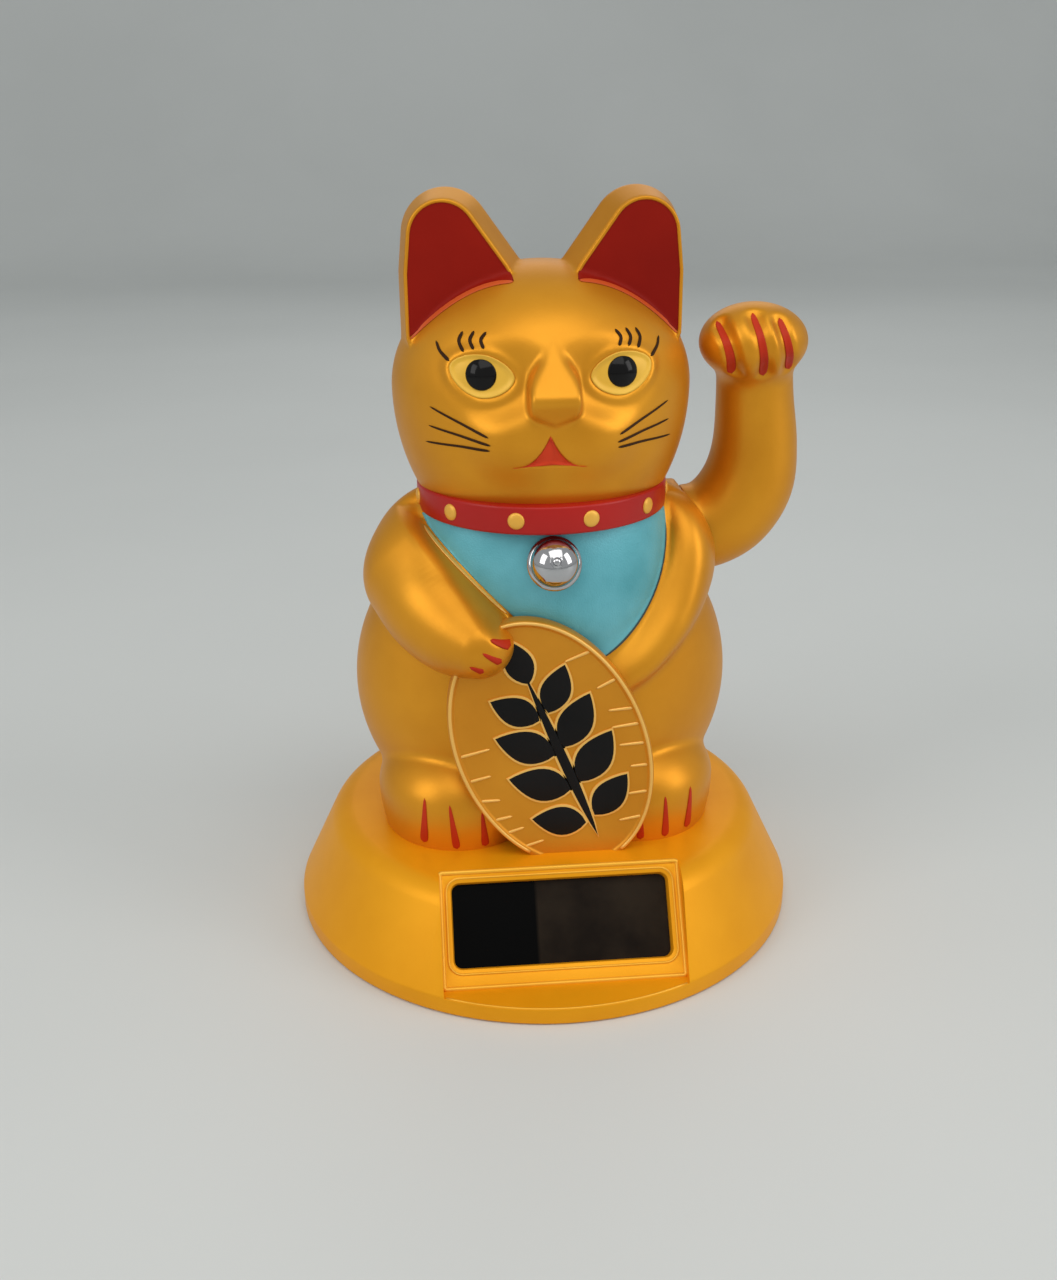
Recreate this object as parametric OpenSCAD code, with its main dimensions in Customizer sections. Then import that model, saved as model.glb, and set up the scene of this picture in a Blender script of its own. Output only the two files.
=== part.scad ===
// Beckoning cat figurine with a solar-driven waving arm.
// A hollow two-part cat stands on a flared base. A pendulum hangs inside it on a
// steel pin, a magnet at its foot swings over a coil in the base, and the arm sits
// on the outer end of the pin. Millimetres, +Z up, the cat faces -Y, and the origin
// is the middle of the base on the surface that it stands on.

/* [Base] */
// Radius of the rim
base_r = 45; // [44:0.5:48]
// Height of the upright rim, below the slope
rim_h = 3.5; // [3.5:0.25:5]
// Height of the deck that the cat stands on
deck_h = 18.5; // [18:0.25:21]
// Radius of the flat deck
deck_r = 34.5; // [33.5:0.25:36]
// Rounding between the slope and the deck
shoulder_r = 5; // [3:0.25:6]
// Wall thickness of the slope
base_wall = 2; // [1.6:0.1:2.4]
// Thickness of the deck
deck_t = 2; // [1.6:0.1:2.4]

/* [Bottom cover] */
// Thickness of the cover plate
cover_t = 2; // [1.6:0.1:2.4]
// Gap around the cover
cover_gap = 0.2; // [0.1:0.05:0.4]
// How far the pads hold the cover off the table
pad_stand = 0.8; // [0.6:0.1:1.2]
// Diameter of a foot pad
pad_d = 8; // [6:0.5:9]
// Depth of a pad's seat in the cover
pad_seat = 0.4; // [0.2:0.1:0.6]

/* [Solar window] */
// Width of the recess in the slope
panel_w = 40; // [39:0.5:41]
// Tilt of the panel from the table
panel_tilt = 55; // [52:0.5:58]
// Depth of the ledge in front of the panel
ledge_w = 6.8; // [6:0.2:8]
// Height of the ledge in front of the panel
ledge_h = 3; // [2.4:0.1:3.4]
// Thickness of the panel wall
panel_t = 2; // [1.6:0.1:2.4]
// Width of the window
window_w = 36; // [34:0.5:36.5]
// Distance from the panel's foot to the window
window_rise = 3.3; // [3:0.1:3.8]
// Radius of the window's corners
window_corner = 1.3; // [0.8:0.1:2]
// Height of the raised frame on the panel
lip_h = 0.5; // [0.3:0.1:0.8]
// Width of the raised frame
lip_w = 0.9; // [0.6:0.1:1.2]
// Thickness of the solar cell
cell_t = 1.6; // [1.2:0.1:2]
// How far the cell reaches past the window
cell_lap = 0.9; // [0.6:0.1:1.2]
// Thickness of the cell's retainer
retainer_t = 1.8; // [1.4:0.1:2.2]

/* [Cat body] */
// Width of the body across the haunches
torso_w = 66; // [64:0.5:68]
// Depth of the body
torso_d = 45; // [44:0.5:46]
// Height of the haunches' widest point above the deck
torso_rise = 23.5; // [22:0.5:25]
// Half the height of the body's egg
torso_half_h = 32; // [31:0.5:33]
// Wall thickness of the cat
shell_wall = 2; // [1.6:0.1:2.4]
// Place of the seam between the front and rear shells
seam_y = -3; // [-4:0.25:-2.5]
// Width of a foot
foot_w = 26; // [24:0.5:28]
// Height of a foot above the deck
foot_h = 15; // [13:0.5:16]

/* [Head and collar] */
// Height of the collar's lower edge above the deck
collar_rise = 55.7; // [55:0.25:57]
// Height of the collar band
collar_h = 4.6; // [4:0.1:5.2]
// Radius of the collar
collar_r = 20.5; // [20:0.25:21]
// Width of the head
head_w = 48.6; // [46:0.5:50]
// Depth of the head
head_d = 43; // [41:0.5:45]
// Height of the crown above the collar
head_h = 35; // [34:0.5:37]
// Height of the cheeks, where the head is widest, above the collar
cheek_rise = 15.5; // [14:0.5:17]
// Height of the ear tips above the crown
ear_rise = 11.2; // [9:0.2:13]
// Depth of an ear from front to back
ear_d = 10; // [9:0.5:11]

/* [Bell and coin] */
// Diameter of the bell
bell_d = 8.2; // [7:0.2:9]
// Wall of the bell
bell_wall = 0.8; // [0.6:0.1:1]
// Length of the coin
coin_l = 47; // [46:0.2:48]
// Width of the coin
coin_w = 31.4; // [30:0.2:32]
// Thickness of the coin
coin_t = 2.2; // [1.8:0.1:2.4]
// Lean of the coin to the cat's right
coin_lean = 22; // [20:1:24]
// Width of the coin's raised rim
coin_rim = 1; // [0.8:0.1:1.5]
// Height of the coin's raised rim
coin_rim_h = 0.4; // [0.2:0.1:0.6]
// Diameter of the pegs that hold the bell and the coin
peg_d = 2.4; // [2:0.1:3]

/* [Swing] */
// Place of the pivot from front to back
pivot_y = 3; // [2:0.25:3.5]
// Height of the pivot above the deck
pivot_rise = 49.5; // [48.5:0.25:50.5]
// Swing to each side of upright
swing = 15; // [10:1:16]
// Diameter of the pivot pin
pin_d = 3; // [2.5:0.1:3.4]
// Running clearance of the pin in its posts, on the radius
pin_clear = 0.05; // [0.03:0.01:0.1]
// Gap between the two posts
post_gap = 19; // [18:0.5:20]
// Thickness of a post
post_t = 3; // [2.5:0.1:3.5]
// Side play of the lever's hub between the posts
hub_play = 0.3; // [0.2:0.05:0.4]
// Outer diameter of the lever's hub
hub_d = 7.2; // [6.5:0.1:8]
// Thickness of the lever's blade
blade_t = 4; // [3:0.25:4.5]
// Width of the lever's blade
blade_w = 6; // [5:0.25:6.5]

/* [Arm] */
// Distance of the arm's flat root from the cat's middle
arm_root_x = 24.6; // [24.2:0.1:25.2]
// Radius of the arm's root
arm_root_r = 8.2; // [7.6:0.1:8.6]
// Wall of the arm
arm_wall = 1.6; // [1.2:0.1:2]
// Height of the paw above the pivot
paw_rise = 32; // [31:0.5:33]
// Width of the paw
paw_w = 17.6; // [16:0.4:18.4]
// Gap between the arm's root and the cat's side
arm_gap = 0.6; // [0.4:0.1:1]

/* [Drive] */
// Diameter of the magnet
magnet_d = 12; // [10:0.5:13]
// Thickness of the magnet
magnet_t = 3; // [2.5:0.25:3.5]
// Wall of the magnet's cup
cup_wall = 1.2; // [1:0.1:1.4]
// Gap between the coil and the magnet
air_gap = 1; // [0.8:0.1:1.5]
// Diameter of the coil bobbin's flanges
bobbin_d = 19; // [17:0.5:21]
// Height of the coil bobbin
bobbin_h = 4.2; // [3.6:0.2:4.6]
// Diameter of the peg that holds the bobbin
bobbin_peg_d = 4; // [3.5:0.1:4.5]
// Width of the circuit board
board_w = 20; // [19:0.5:21]
// Length of the circuit board
board_l = 18; // [17:0.5:19]
// Thickness of the circuit board
board_t = 1.2; // [1:0.1:1.6]
// Height of the posts under the board
board_post_h = 2.5; // [2:0.1:3]
// Diameter of the storage capacitor
capacitor_d = 6.3; // [5:0.1:6.5]
// Height of the storage capacitor
capacitor_h = 8; // [6:0.5:8.5]
// Diameter of the leads
lead_d = 1; // [0.8:0.05:1.2]

/* [Fasteners] */
// Diameter of the screws' shanks
screw_d = 2; // [1.8:0.1:2.2]
// Diameter of the screws' heads
screw_head_d = 3.8; // [3.4:0.1:4]
// Height of the screws' heads
screw_head_h = 1.3; // [1:0.1:1.5]
// Diameter of the bosses that the screws enter
boss_d = 6; // [5.4:0.1:6.4]
// Clearance of glued and plugged fits, on the radius
fit_clear = 0.1; // [0.05:0.01:0.15]

/* [Hidden] */
gold = "goldenrod";
form_fn = 36;
hull_fn = 24;
cavity_fn = 24;
far = 200;
eps = 0.01;

// Heights from the table up
cover_z = pad_stand;
cover_top = cover_z + cover_t;
seat_t = 1.6;
screw_seat_top = cover_top + screw_head_h + seat_t - cover_t;
deck_under = deck_h - deck_t;
bobbin_z = cover_top;
magnet_z = bobbin_z + bobbin_h + air_gap;
pivot_z = deck_h + pivot_rise;
collar_z = deck_h + collar_rise;
screw_r = screw_d / 2;
pilot_r = screw_r + 0.03;
through_r = screw_r + 0.2;

// Panel frame: x across, y up the slope, z out of the face
panel_foot = base_r - ledge_w;
panel_l = (deck_h - ledge_h) / sin(panel_tilt);
cell_top = (deck_under - fit_clear - ledge_h + panel_t * cos(panel_tilt)) / sin(panel_tilt);
window_h = cell_top - cell_lap - window_rise;
window_y = window_rise + window_h / 2;
cell_w = window_w + 2 * cell_lap;
cell_h = window_h + 2 * cell_lap;
cover_front = -panel_foot + panel_t / sin(panel_tilt) + (cover_top - ledge_h) / tan(panel_tilt) + cover_gap;
retainer_screw_x = cell_w / 2 + 2.6;
retainer_w = 2 * retainer_screw_x + 4.4;
retainer_inset = 2;

// Places of the fasteners, seen from above
function around(r, turns) = [for (a = turns) [r * cos(a), r * sin(a)]];
cover_screw_at = around(deck_r - 3.2, [-16, 196, 61.4, 118.6]);
pad_at = around(base_r - 9.65, [-45, 225, 39, 141]);
cover_screw_l = 7;
body_screw_grip = 6;
retainer_screw_grip = 1.2;
post_screw_grip = 4;
front_boss_at = [[20.5, -9], [-20.5, -9]];
rear_boss_at = [[13, pivot_y + 11.5], [-13, pivot_y + 11.5]];
post_flange_w = 5.6;
post_flange_l = 11.5;
post_flange_t = 2.5;
post_screw_x = post_gap / 2 + post_t + post_flange_w / 2;
post_screw_y = [pivot_y - 3.2, pivot_y + 3.2];
post_boss_d = 4.6;
board_at = [-24, 9];
board_z = cover_top + board_post_h;
board_screw_at = [[board_at[0] - board_w / 2 + 3, board_at[1] - board_l / 2 + 3],
  [board_at[0] + board_w / 2 - 3, board_at[1] + board_l / 2 - 3]];
capacitor_at = [board_at[0] - board_w / 2 + 6.5, board_at[1] + board_l / 2 - 5.5];
chip_at = [board_at[0] + 3, board_at[1] - 1];

// The deck's slot lets the pendulum through and stops it just past its swing
slot_clear = 1;
slot_half_l = (pivot_z - deck_under) * tan(swing) + blade_w / 2 / cos(swing) + slot_clear;
cup_d = magnet_d + 2 * cup_wall;
cup_roof = 1;
slot_w = cup_d + 2 * slot_clear;

// The cat's forms, in its own places above the deck
torso_c = [0, 2, deck_h + torso_rise];
torso_s = [torso_w / 2, torso_d / 2, torso_half_h];
belly_y = torso_c[1] - torso_s[1];
lap_c = [0, belly_y + 19, deck_h + 5];
lap_s = [15, 16.5, 13];
rump_c = [0, torso_c[1] + 7, deck_h + 6];
rump_s = [torso_w / 2 - 5, torso_d / 2 - 5, 15];
foot_c = [torso_w / 2 - 14, belly_y + 12.4, deck_h + 6];
foot_s = [foot_w / 2, 16.5, foot_h - 6];
collar_y = -1;
chest_c = [0, collar_y, collar_z - 12.2];
chest_s = [collar_r + 0.5, collar_r - 1, 30];
collar_out = collar_r + 0.3;
head_z = collar_z + collar_h + cheek_rise;
head_c = [0, collar_y - 0.5, head_z];
head_top = collar_z + collar_h + head_h;
head_up = head_h - cheek_rise;
head_down = cheek_rise / sqrt(1 - pow(collar_out / (head_w / 2), 2));
ear_face = head_c[1] - 7;
ear_top_r = 6;
ear_tip = [head_w / 2 - 9.2, head_top + ear_rise - ear_top_r];
ear_outer = [head_w / 2 - 4.2, head_top - 10.8];
ear_inner = [6.4, head_top - 2.4];
ear_plate_t = 3;
shoulder_c = [torso_w / 2 - 18.5, -3, collar_z - 10];
shoulder_s = [15, 14, 14.5];

// The coin stands on the deck in front of the belly, under the right paw
coin_gap = 0.3;
coin_back = belly_y - coin_gap;
coin_sink = 3.7;
coin_c = [-0.6, coin_back, deck_h + coin_l / 2 - coin_sink];
coin_seat = 0.05;
coin_peg_dz = 6;

bell_back = collar_y - collar_r - 0.5;
bell_c = [0, bell_back - bell_d * 0.16, collar_z - bell_d / 2 - 0.2];

// The right arm lies across the chest and rests its paw on the coin
right_arm = [[[-(torso_w / 2 - 12.5), -7, collar_z - 11.2], 9],
  [[-15, coin_back + 2.2, collar_z - 15.7], 7.6],
  [[-10.5, coin_back - 2.8, collar_z - 17.7], 5.8]];
left_shoulder = [[[torso_w / 2 - 15, -4, collar_z - 9], 8.6],
  [[torso_w / 2 - 14, -10.5, collar_z - 15], 7],
  [[13, belly_y + 3.9, collar_z - 22.5], 5]];

// The waving arm, from its root at the pivot up to the paw
arm_chain = [[[arm_root_x + 8.6, pivot_y, pivot_z - 0.2], arm_root_r - 0.2],
  [[arm_root_x + 11.6, pivot_y, pivot_z + 4], arm_root_r - 0.2],
  [[arm_root_x + 12.4, pivot_y - 0.5, pivot_z + 12], 7.2],
  [[arm_root_x + 12, pivot_y - 1, pivot_z + paw_rise - 9.5], 6.2],
  [[arm_root_x + 11.4, pivot_y - 2, pivot_z + paw_rise - 2], 6.2]];
paw_c = [arm_root_x + 10.8, pivot_y - 5.5, pivot_z + paw_rise];
paw_s = [paw_w / 2, 8, 6.5];
arm_hub_l = 6;
arm_hub_r = arm_root_r - arm_wall - fit_clear;
pin_left = post_gap / 2 + post_t + 1.2;
pin_right = arm_root_x + arm_hub_l - 0.5;

// Leads, from solder joint to solder joint by hand-chosen places
solder_gap = 0.05;
coil_inset = 0.8;
board_top = board_z + board_t;
function on_panel_at(x, y, z) =
  [x, -panel_foot + y * cos(panel_tilt) - z * sin(panel_tilt), ledge_h + y * sin(panel_tilt) + z * cos(panel_tilt)];
function coil_exit(turn) =
  let (r = bobbin_d / 2 - coil_inset + solder_gap)
  [r * cos(turn), pivot_y + r * sin(turn), bobbin_z + bobbin_h / 2];
function solar_lead(x, end) =
  let (back = -panel_t - cell_t - solder_gap)
  [on_panel_at(x, window_y, back), on_panel_at(x, window_y, back - 2), [x - 2, -21, 6.4], [x - 5, -12, 5],
    [end[0] + 0.4, -5, 6], [end[0], -2, board_top + 1.6], [end[0], end[1] - 1, board_top + 2.2],
    [end[0], end[1], board_top + 1.2], [end[0], end[1], board_top + solder_gap]];
function coil_lead(turn, end) =
  let (from = coil_exit(turn), out = [cos(turn), sin(turn), 0])
  [from, from + 1.6 * out, [-12.4, end[1] - 0.4, board_top + 1], [end[0] + 0.8, end[1], board_top + 1.8],
    [end[0], end[1], board_top + 1], [end[0], end[1], board_top + solder_gap]];
solar_lead_routes = [solar_lead(-9, [-18, 3.6]), solar_lead(-6.6, [-15.8, 3.8])];
coil_lead_routes = [coil_lead(170, [-15.8, 6.6]), coil_lead(150, [-15.8, 9.4])];
lead_sides = 8;
lead_steps = 3;

// General shapes

module ellipsoid(centre, half, grow = 0)
  translate(centre)
    scale([half[0] + grow, half[1] + grow, half[2] + grow]) sphere(1, $fn = grow < 0 ? cavity_fn : form_fn);

module ball(place, grow = 0)
  translate(place[0]) sphere(place[1] + grow, $fn = grow < 0 ? cavity_fn : hull_fn);

module chain(places, grow = 0)
  for (i = [0 : len(places) - 2])
    hull() {
      ball(places[i], grow);
      ball(places[i + 1], grow);
    }

module above(z)
  translate([-far / 2, -far / 2, z]) cube([far, far, far]);

module along_x(from, to, r)
  translate([from, 0, 0]) rotate([0, 90, 0]) cylinder(h = to - from, r = r, $fn = form_fn);

// Turns a flat outline in Y and Z into a plate across X
module across_x(from, to)
  translate([from, 0, 0]) rotate([90, 0, 90]) linear_extrude(to - from) children();

module rounded_rect(w, h, r)
  union() {
    square([w - 2 * r, h], center = true);
    square([w, h - 2 * r], center = true);
    for (x = [-1, 1], y = [-1, 1])
      translate([x * (w / 2 - r), y * (h / 2 - r)]) circle(r, $fn = form_fn);
  }

// A pan-head screw, its head below z = 0 and its shank above
module screw(length) {
  slot_w_cut = screw_head_d * 0.6;
  slot_t_cut = 0.5;
  difference() {
    union() {
      translate([0, 0, -screw_head_h]) cylinder(h = screw_head_h, d = screw_head_d, $fn = form_fn);
      cylinder(h = length, r = screw_r, $fn = form_fn);
    }
    for (turn = [0, 90])
      rotate([0, 0, turn]) translate([-slot_w_cut / 2, -slot_t_cut / 2, -screw_head_h - eps])
        cube([slot_w_cut, slot_t_cut, screw_head_h / 2]);
  }
}

module at_each(places, z)
  for (p = places) translate([p[0], p[1], z]) children();

// Puts children in the panel's own frame
module on_panel()
  translate([0, -panel_foot, ledge_h]) rotate([panel_tilt, 0, 0]) children();

// A smooth curve through the hand-chosen points of a lead
function curve_point(p, i, t) =
  let (a = p[max(i - 1, 0)], b = p[i], c = p[i + 1], d = p[min(i + 2, len(p) - 1)])
  0.5 * (2 * b + (c - a) * t + (2 * a - 5 * b + 4 * c - d) * t * t + (3 * b - a - 3 * c + d) * t * t * t);
function route(p) =
  [for (i = [0 : len(p) - 2], s = [0 : lead_steps - 1]) curve_point(p, i, s / lead_steps), p[len(p) - 1]];
function unit(v) = v / norm(v);
function heading(p, i) = unit(p[min(i + 1, len(p) - 1)] - p[max(i - 1, 0)]);
function ring_at(p, i, r) =
  let (h = heading(p, i), side = unit(cross(h, abs(h[2]) > 0.9 ? [1, 0, 0] : [0, 0, 1])), up = cross(side, h))
  [for (k = [0 : lead_sides - 1]) p[i] + r * (cos(360 * k / lead_sides) * side + sin(360 * k / lead_sides) * up)];

module tube_along(points, r) {
  p = route(points);
  last = len(p) - 1;
  corners = [for (i = [0 : last]) each ring_at(p, i, r)];
  walls = [for (i = [0 : last - 1], k = [0 : lead_sides - 1])
    let (n = (k + 1) % lead_sides, a = i * lead_sides, b = a + lead_sides)
    each [[a + k, b + k, b + n], [a + k, b + n, a + n]]];
  ends = [[for (k = [0 : lead_sides - 1]) k], [for (k = [0 : lead_sides - 1]) last * lead_sides + lead_sides - 1 - k]];
  polyhedron(points = corners, faces = concat(walls, ends));
}

// The cat's outer skin, and with a negative grow the cavity inside it

module ear(side, grow = 0) {
  spots = [[ear_tip, ear_top_r], [ear_outer, 3.2], [ear_inner, 2.2]];
  hull() {
    for (s = spots)
      translate([side * s[0][0], ear_face - grow, s[0][1]]) rotate([-90, 0, 0])
        cylinder(h = ear_plate_t + 2 * grow, r = s[1] + grow, $fn = hull_fn);
    ball([[side * (ear_tip[0] - 2), ear_face + ear_d - 5, ear_tip[1] - 0.8], 5], grow);
    ball([[side * (ear_outer[0] - 2), ear_face + ear_d - 3, ear_outer[1]], 3], grow);
  }
}

module nose()
  hull() {
    ball([[0, head_c[1] - head_d / 2 + 2.2, head_z + 7], 1.6]);
    for (side = [-1, 1]) ball([[side * 2, head_c[1] - head_d / 2 - 1.2, head_z + 0.9], 2.2]);
  }

// An egg, drawn out downwards until it meets the collar
module head(grow = 0) {
  intersection() {
    ellipsoid(head_c, [head_w / 2, head_d / 2, head_up], grow);
    above(head_z);
  }
  difference() {
    ellipsoid(head_c, [head_w / 2, head_d / 2, head_down], grow);
    above(head_z);
  }
}

module arm_seat(grow = 0)
  translate([0, pivot_y, pivot_z]) along_x(8, arm_root_x - arm_gap + grow, arm_root_r + 0.4 + grow);

module cat_skin(grow = 0) {
  ellipsoid(torso_c, torso_s, grow);
  ellipsoid(lap_c, lap_s, grow);
  ellipsoid(rump_c, rump_s, grow);
  ellipsoid(chest_c, chest_s, grow);
  for (side = [-1, 1]) {
    ellipsoid([side * foot_c[0], foot_c[1], foot_c[2]], foot_s, grow);
    ellipsoid([side * shoulder_c[0], shoulder_c[1], shoulder_c[2]], shoulder_s, grow);
  }
  translate([0, collar_y, collar_z - grow]) cylinder(h = collar_h + 2 * grow, r = collar_out + grow, $fn = form_fn);
  chain(right_arm, grow);
  chain(left_shoulder, grow);
  arm_seat(grow);
  head(grow);
  for (side = [-1, 1]) ear(side, grow);
  if (grow == 0) nose();
}

// Bosses that stand on the deck, with a rib out to the wall
module deck_bosses(places, outwards_y)
  for (p = places) {
    translate([p[0], p[1], deck_h]) cylinder(h = 9, d = boss_d, $fn = hull_fn);
    translate([p[0] - 0.8, outwards_y > 0 ? p[1] : p[1] - 20, deck_h]) cube([1.6, 20, 9]);
  }

module deck_boss_holes(places)
  at_each(places, deck_h - 1) cylinder(h = 9, r = pilot_r, $fn = hull_fn);

module cat_walls(places, outwards_y) {
  difference() {
    cat_skin();
    cat_skin(-shell_wall);
  }
  intersection() {
    cat_skin();
    deck_bosses(places, outwards_y);
  }
}

// Room for the coin under the paw, for the pegs and for the arm's root
module coin_outline(grow = 0)
  rotate(coin_lean) scale([coin_w / 2 + grow, coin_l / 2 + grow]) circle(1, $fn = 96);

module in_coin_plane()
  translate(coin_c) rotate([90, 0, 0]) children();

module coin_pocket()
  in_coin_plane() translate([0, 0, -coin_gap / 2]) linear_extrude(coin_t + coin_rim_h + coin_gap) coin_outline(coin_gap);

module peg_holes() {
  for (dz = [-1, 1])
    translate([coin_c[0], belly_y - 1, coin_c[2] + dz * coin_peg_dz]) rotate([-90, 0, 0])
      cylinder(h = 9, r = peg_d / 2 + fit_clear, $fn = hull_fn);
  translate([0, bell_back - 1, bell_c[2]]) rotate([-90, 0, 0]) cylinder(h = 9, r = peg_d / 2 + fit_clear, $fn = hull_fn);
}

module arm_relief() {
  translate([0, pivot_y, pivot_z]) along_x(arm_root_x - arm_gap, arm_root_x + 12, arm_root_r + 1);
  translate([0, pivot_y, pivot_z]) along_x(8, arm_root_x, pin_d / 2 + 1);
}

module front_shell() color(gold)
  difference() {
    intersection() {
      cat_walls(front_boss_at, -1);
      above(deck_h);
      translate([-far / 2, seam_y - far, 0]) cube([far, far, far]);
    }
    coin_pocket();
    peg_holes();
    arm_relief();
    deck_boss_holes(front_boss_at);
  }

module rear_shell() color(gold)
  difference() {
    intersection() {
      cat_walls(rear_boss_at, 1);
      above(deck_h);
      translate([-far / 2, seam_y, 0]) cube([far, far, far]);
    }
    arm_relief();
    deck_boss_holes(rear_boss_at);
  }

// An oval plate with a raised rim, cut flat where it stands on the deck
module koban_coin() color("darkgoldenrod")
  difference() {
    union() {
      in_coin_plane() linear_extrude(coin_t + coin_rim_h) coin_outline();
      for (dz = [-1, 1])
        translate([coin_c[0], coin_back, coin_c[2] + dz * coin_peg_dz]) rotate([-90, 0, 0])
          cylinder(h = coin_gap + shell_wall, d = peg_d, $fn = form_fn);
    }
    in_coin_plane() translate([0, 0, coin_t]) linear_extrude(coin_rim_h + 1) coin_outline(-coin_rim);
    translate([-far / 2, -far / 2, deck_h + coin_seat - far]) cube([far, far, far]);
  }

// A hollow plated dome on a peg
module collar_bell() color("silver") {
  difference() {
    translate(bell_c) sphere(d = bell_d, $fn = form_fn);
    translate(bell_c) sphere(d = bell_d - 2 * bell_wall, $fn = form_fn);
    translate([-far / 2, bell_back, 0]) cube([far, far, far]);
  }
  translate([0, bell_c[1] - bell_d / 2 + bell_wall / 2, bell_c[2]]) rotate([-90, 0, 0])
    cylinder(h = bell_d / 2 - bell_wall / 2 - bell_c[1] + chest_c[1] - chest_s[1] + shell_wall, d = peg_d, $fn = form_fn);
}

// Base

function rim_tangent() =
  let (c = [deck_r, deck_h - shoulder_r], v = [base_r, rim_h] - c)
  atan2(v[1], v[0]) + acos(shoulder_r / norm(v));
function shoulder_points(n) =
  let (from = rim_tangent())
  [for (i = [0 : n]) let (a = from + (90 - from) * i / n)
    [deck_r + shoulder_r * cos(a), deck_h - shoulder_r + shoulder_r * sin(a)]];

module base_form()
  rotate_extrude($fn = 96)
    polygon(concat([[0, cover_z], [base_r - 1, cover_z], [base_r, cover_z + 1], [base_r, rim_h]],
      shoulder_points(8), [[0, deck_h]]));

module base_cavity()
  rotate_extrude($fn = 96)
    polygon([[0, cover_z - 1], [base_r - base_wall, cover_z - 1], [base_r - base_wall, rim_h - 0.5],
      [deck_r + shoulder_r - base_wall - 1, deck_under], [0, deck_under]]);

// Everything in front of the panel's face moved by depth, above the ledge
module before_panel(width, depth, foot)
  across_x(-width / 2, width / 2)
    polygon([[-far, foot], [-panel_foot + (foot - ledge_h) / tan(panel_tilt) + depth / sin(panel_tilt), foot],
      [-panel_foot + (far - ledge_h) / tan(panel_tilt) + depth / sin(panel_tilt), far], [-far, far]]);

module panel_lip()
  on_panel() translate([0, panel_l / 2 + 0.2, -0.5]) linear_extrude(lip_h + 0.5)
    difference() {
      rounded_rect(panel_w - 0.6, panel_l - 1.2, 0.8);
      rounded_rect(panel_w - 0.6 - 2 * lip_w, panel_l - 1.2 - 2 * lip_w, 0.6);
    }

module base_shell() color("orange")
  difference() {
    union() {
      difference() {
        base_form();
        before_panel(panel_w, 0, ledge_h);
        difference() {
          base_cavity();
          before_panel(far, panel_t, -far / 2);
        }
      }
      panel_lip();
      at_each(cover_screw_at, screw_seat_top) cylinder(h = deck_under + eps - screw_seat_top, d = boss_d, $fn = form_fn);
      at_each([for (x = [-1, 1], y = post_screw_y) [x * post_screw_x, y]], deck_under - 5)
        cylinder(h = 5 + eps, d = post_boss_d, $fn = form_fn);
      on_panel() for (x = [-1, 1]) translate([x * retainer_screw_x, window_y, -panel_t - cell_t])
        cylinder(h = cell_t + eps, d = 4, $fn = form_fn);
    }
    on_panel() translate([0, window_y, -panel_t - 1]) linear_extrude(panel_t + 3)
      rounded_rect(window_w, window_h, window_corner);
    on_panel() for (x = [-1, 1]) translate([x * retainer_screw_x, window_y, -panel_t - cell_t - 1])
      cylinder(h = cell_t + 2.4, r = pilot_r, $fn = form_fn);
    translate([0, pivot_y, deck_under - 1]) linear_extrude(deck_t + 2)
      round_ended(slot_w, 2 * slot_half_l);
    at_each(concat(front_boss_at, rear_boss_at), deck_under - 1) cylinder(h = deck_t + 2, r = through_r, $fn = form_fn);
    at_each([for (x = [-1, 1], y = post_screw_y) [x * post_screw_x, y]], deck_h - 5)
      cylinder(h = 6, r = pilot_r, $fn = form_fn);
    at_each(cover_screw_at, screw_seat_top - 1) cylinder(h = 8, r = pilot_r, $fn = form_fn);
  }

module round_ended(w, l)
  union() {
    square([w, l - w], center = true);
    for (y = [-1, 1]) translate([0, y * (l - w) / 2]) circle(d = w, $fn = form_fn);
  }

module base_cover() color("orange")
  difference() {
    union() {
      translate([0, 0, cover_z]) cylinder(h = cover_t, r = base_r - base_wall - cover_gap, $fn = 96);
      at_each(cover_screw_at, cover_z) cylinder(h = screw_seat_top - cover_z, d = boss_d + 1, $fn = form_fn);
      at_each(board_screw_at, cover_top - eps) cylinder(h = board_post_h + eps, d = 4.6, $fn = form_fn);
      translate([0, pivot_y, cover_top - eps]) cylinder(h = bobbin_h - 0.5, d = bobbin_peg_d, $fn = form_fn);
    }
    translate([-far / 2, cover_front - far, 0]) cube([far, far, far]);
    at_each(cover_screw_at, cover_z - 1) cylinder(h = 1 + screw_head_h, d = screw_head_d + 0.6, $fn = form_fn);
    at_each(cover_screw_at, cover_z) cylinder(h = 9, r = through_r, $fn = form_fn);
    at_each(board_screw_at, cover_top - 1) cylinder(h = 9, r = pilot_r, $fn = form_fn);
    at_each(pad_at, cover_z - 1) cylinder(h = 1 + pad_seat, d = pad_d + 2 * fit_clear, $fn = form_fn);
  }

module cover_screws() color("silver")
  at_each(cover_screw_at, cover_z + screw_head_h) screw(cover_screw_l);

module foot_pads() color("black")
  at_each(pad_at, 0) cylinder(h = pad_stand + pad_seat, d = pad_d, $fn = form_fn);

module body_screws() color("silver")
  at_each(concat(front_boss_at, rear_boss_at), deck_under) screw(deck_t + body_screw_grip);

// Solar cell and its retainer, in the panel's frame

module solar_cell() color("black")
  on_panel() translate([-cell_w / 2, window_y - cell_h / 2, -panel_t - cell_t]) cube([cell_w, cell_h, cell_t]);

module cell_retainer() color("white")
  on_panel() translate([0, window_y, -panel_t - cell_t - retainer_t]) linear_extrude(retainer_t)
    difference() {
      rounded_rect(retainer_w, cell_h - 2 * retainer_inset, 1.5);
      rounded_rect(window_w - 6, window_h - 6, 1);
      for (x = [-1, 1]) translate([x * retainer_screw_x, 0]) circle(through_r, $fn = form_fn);
    }

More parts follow.
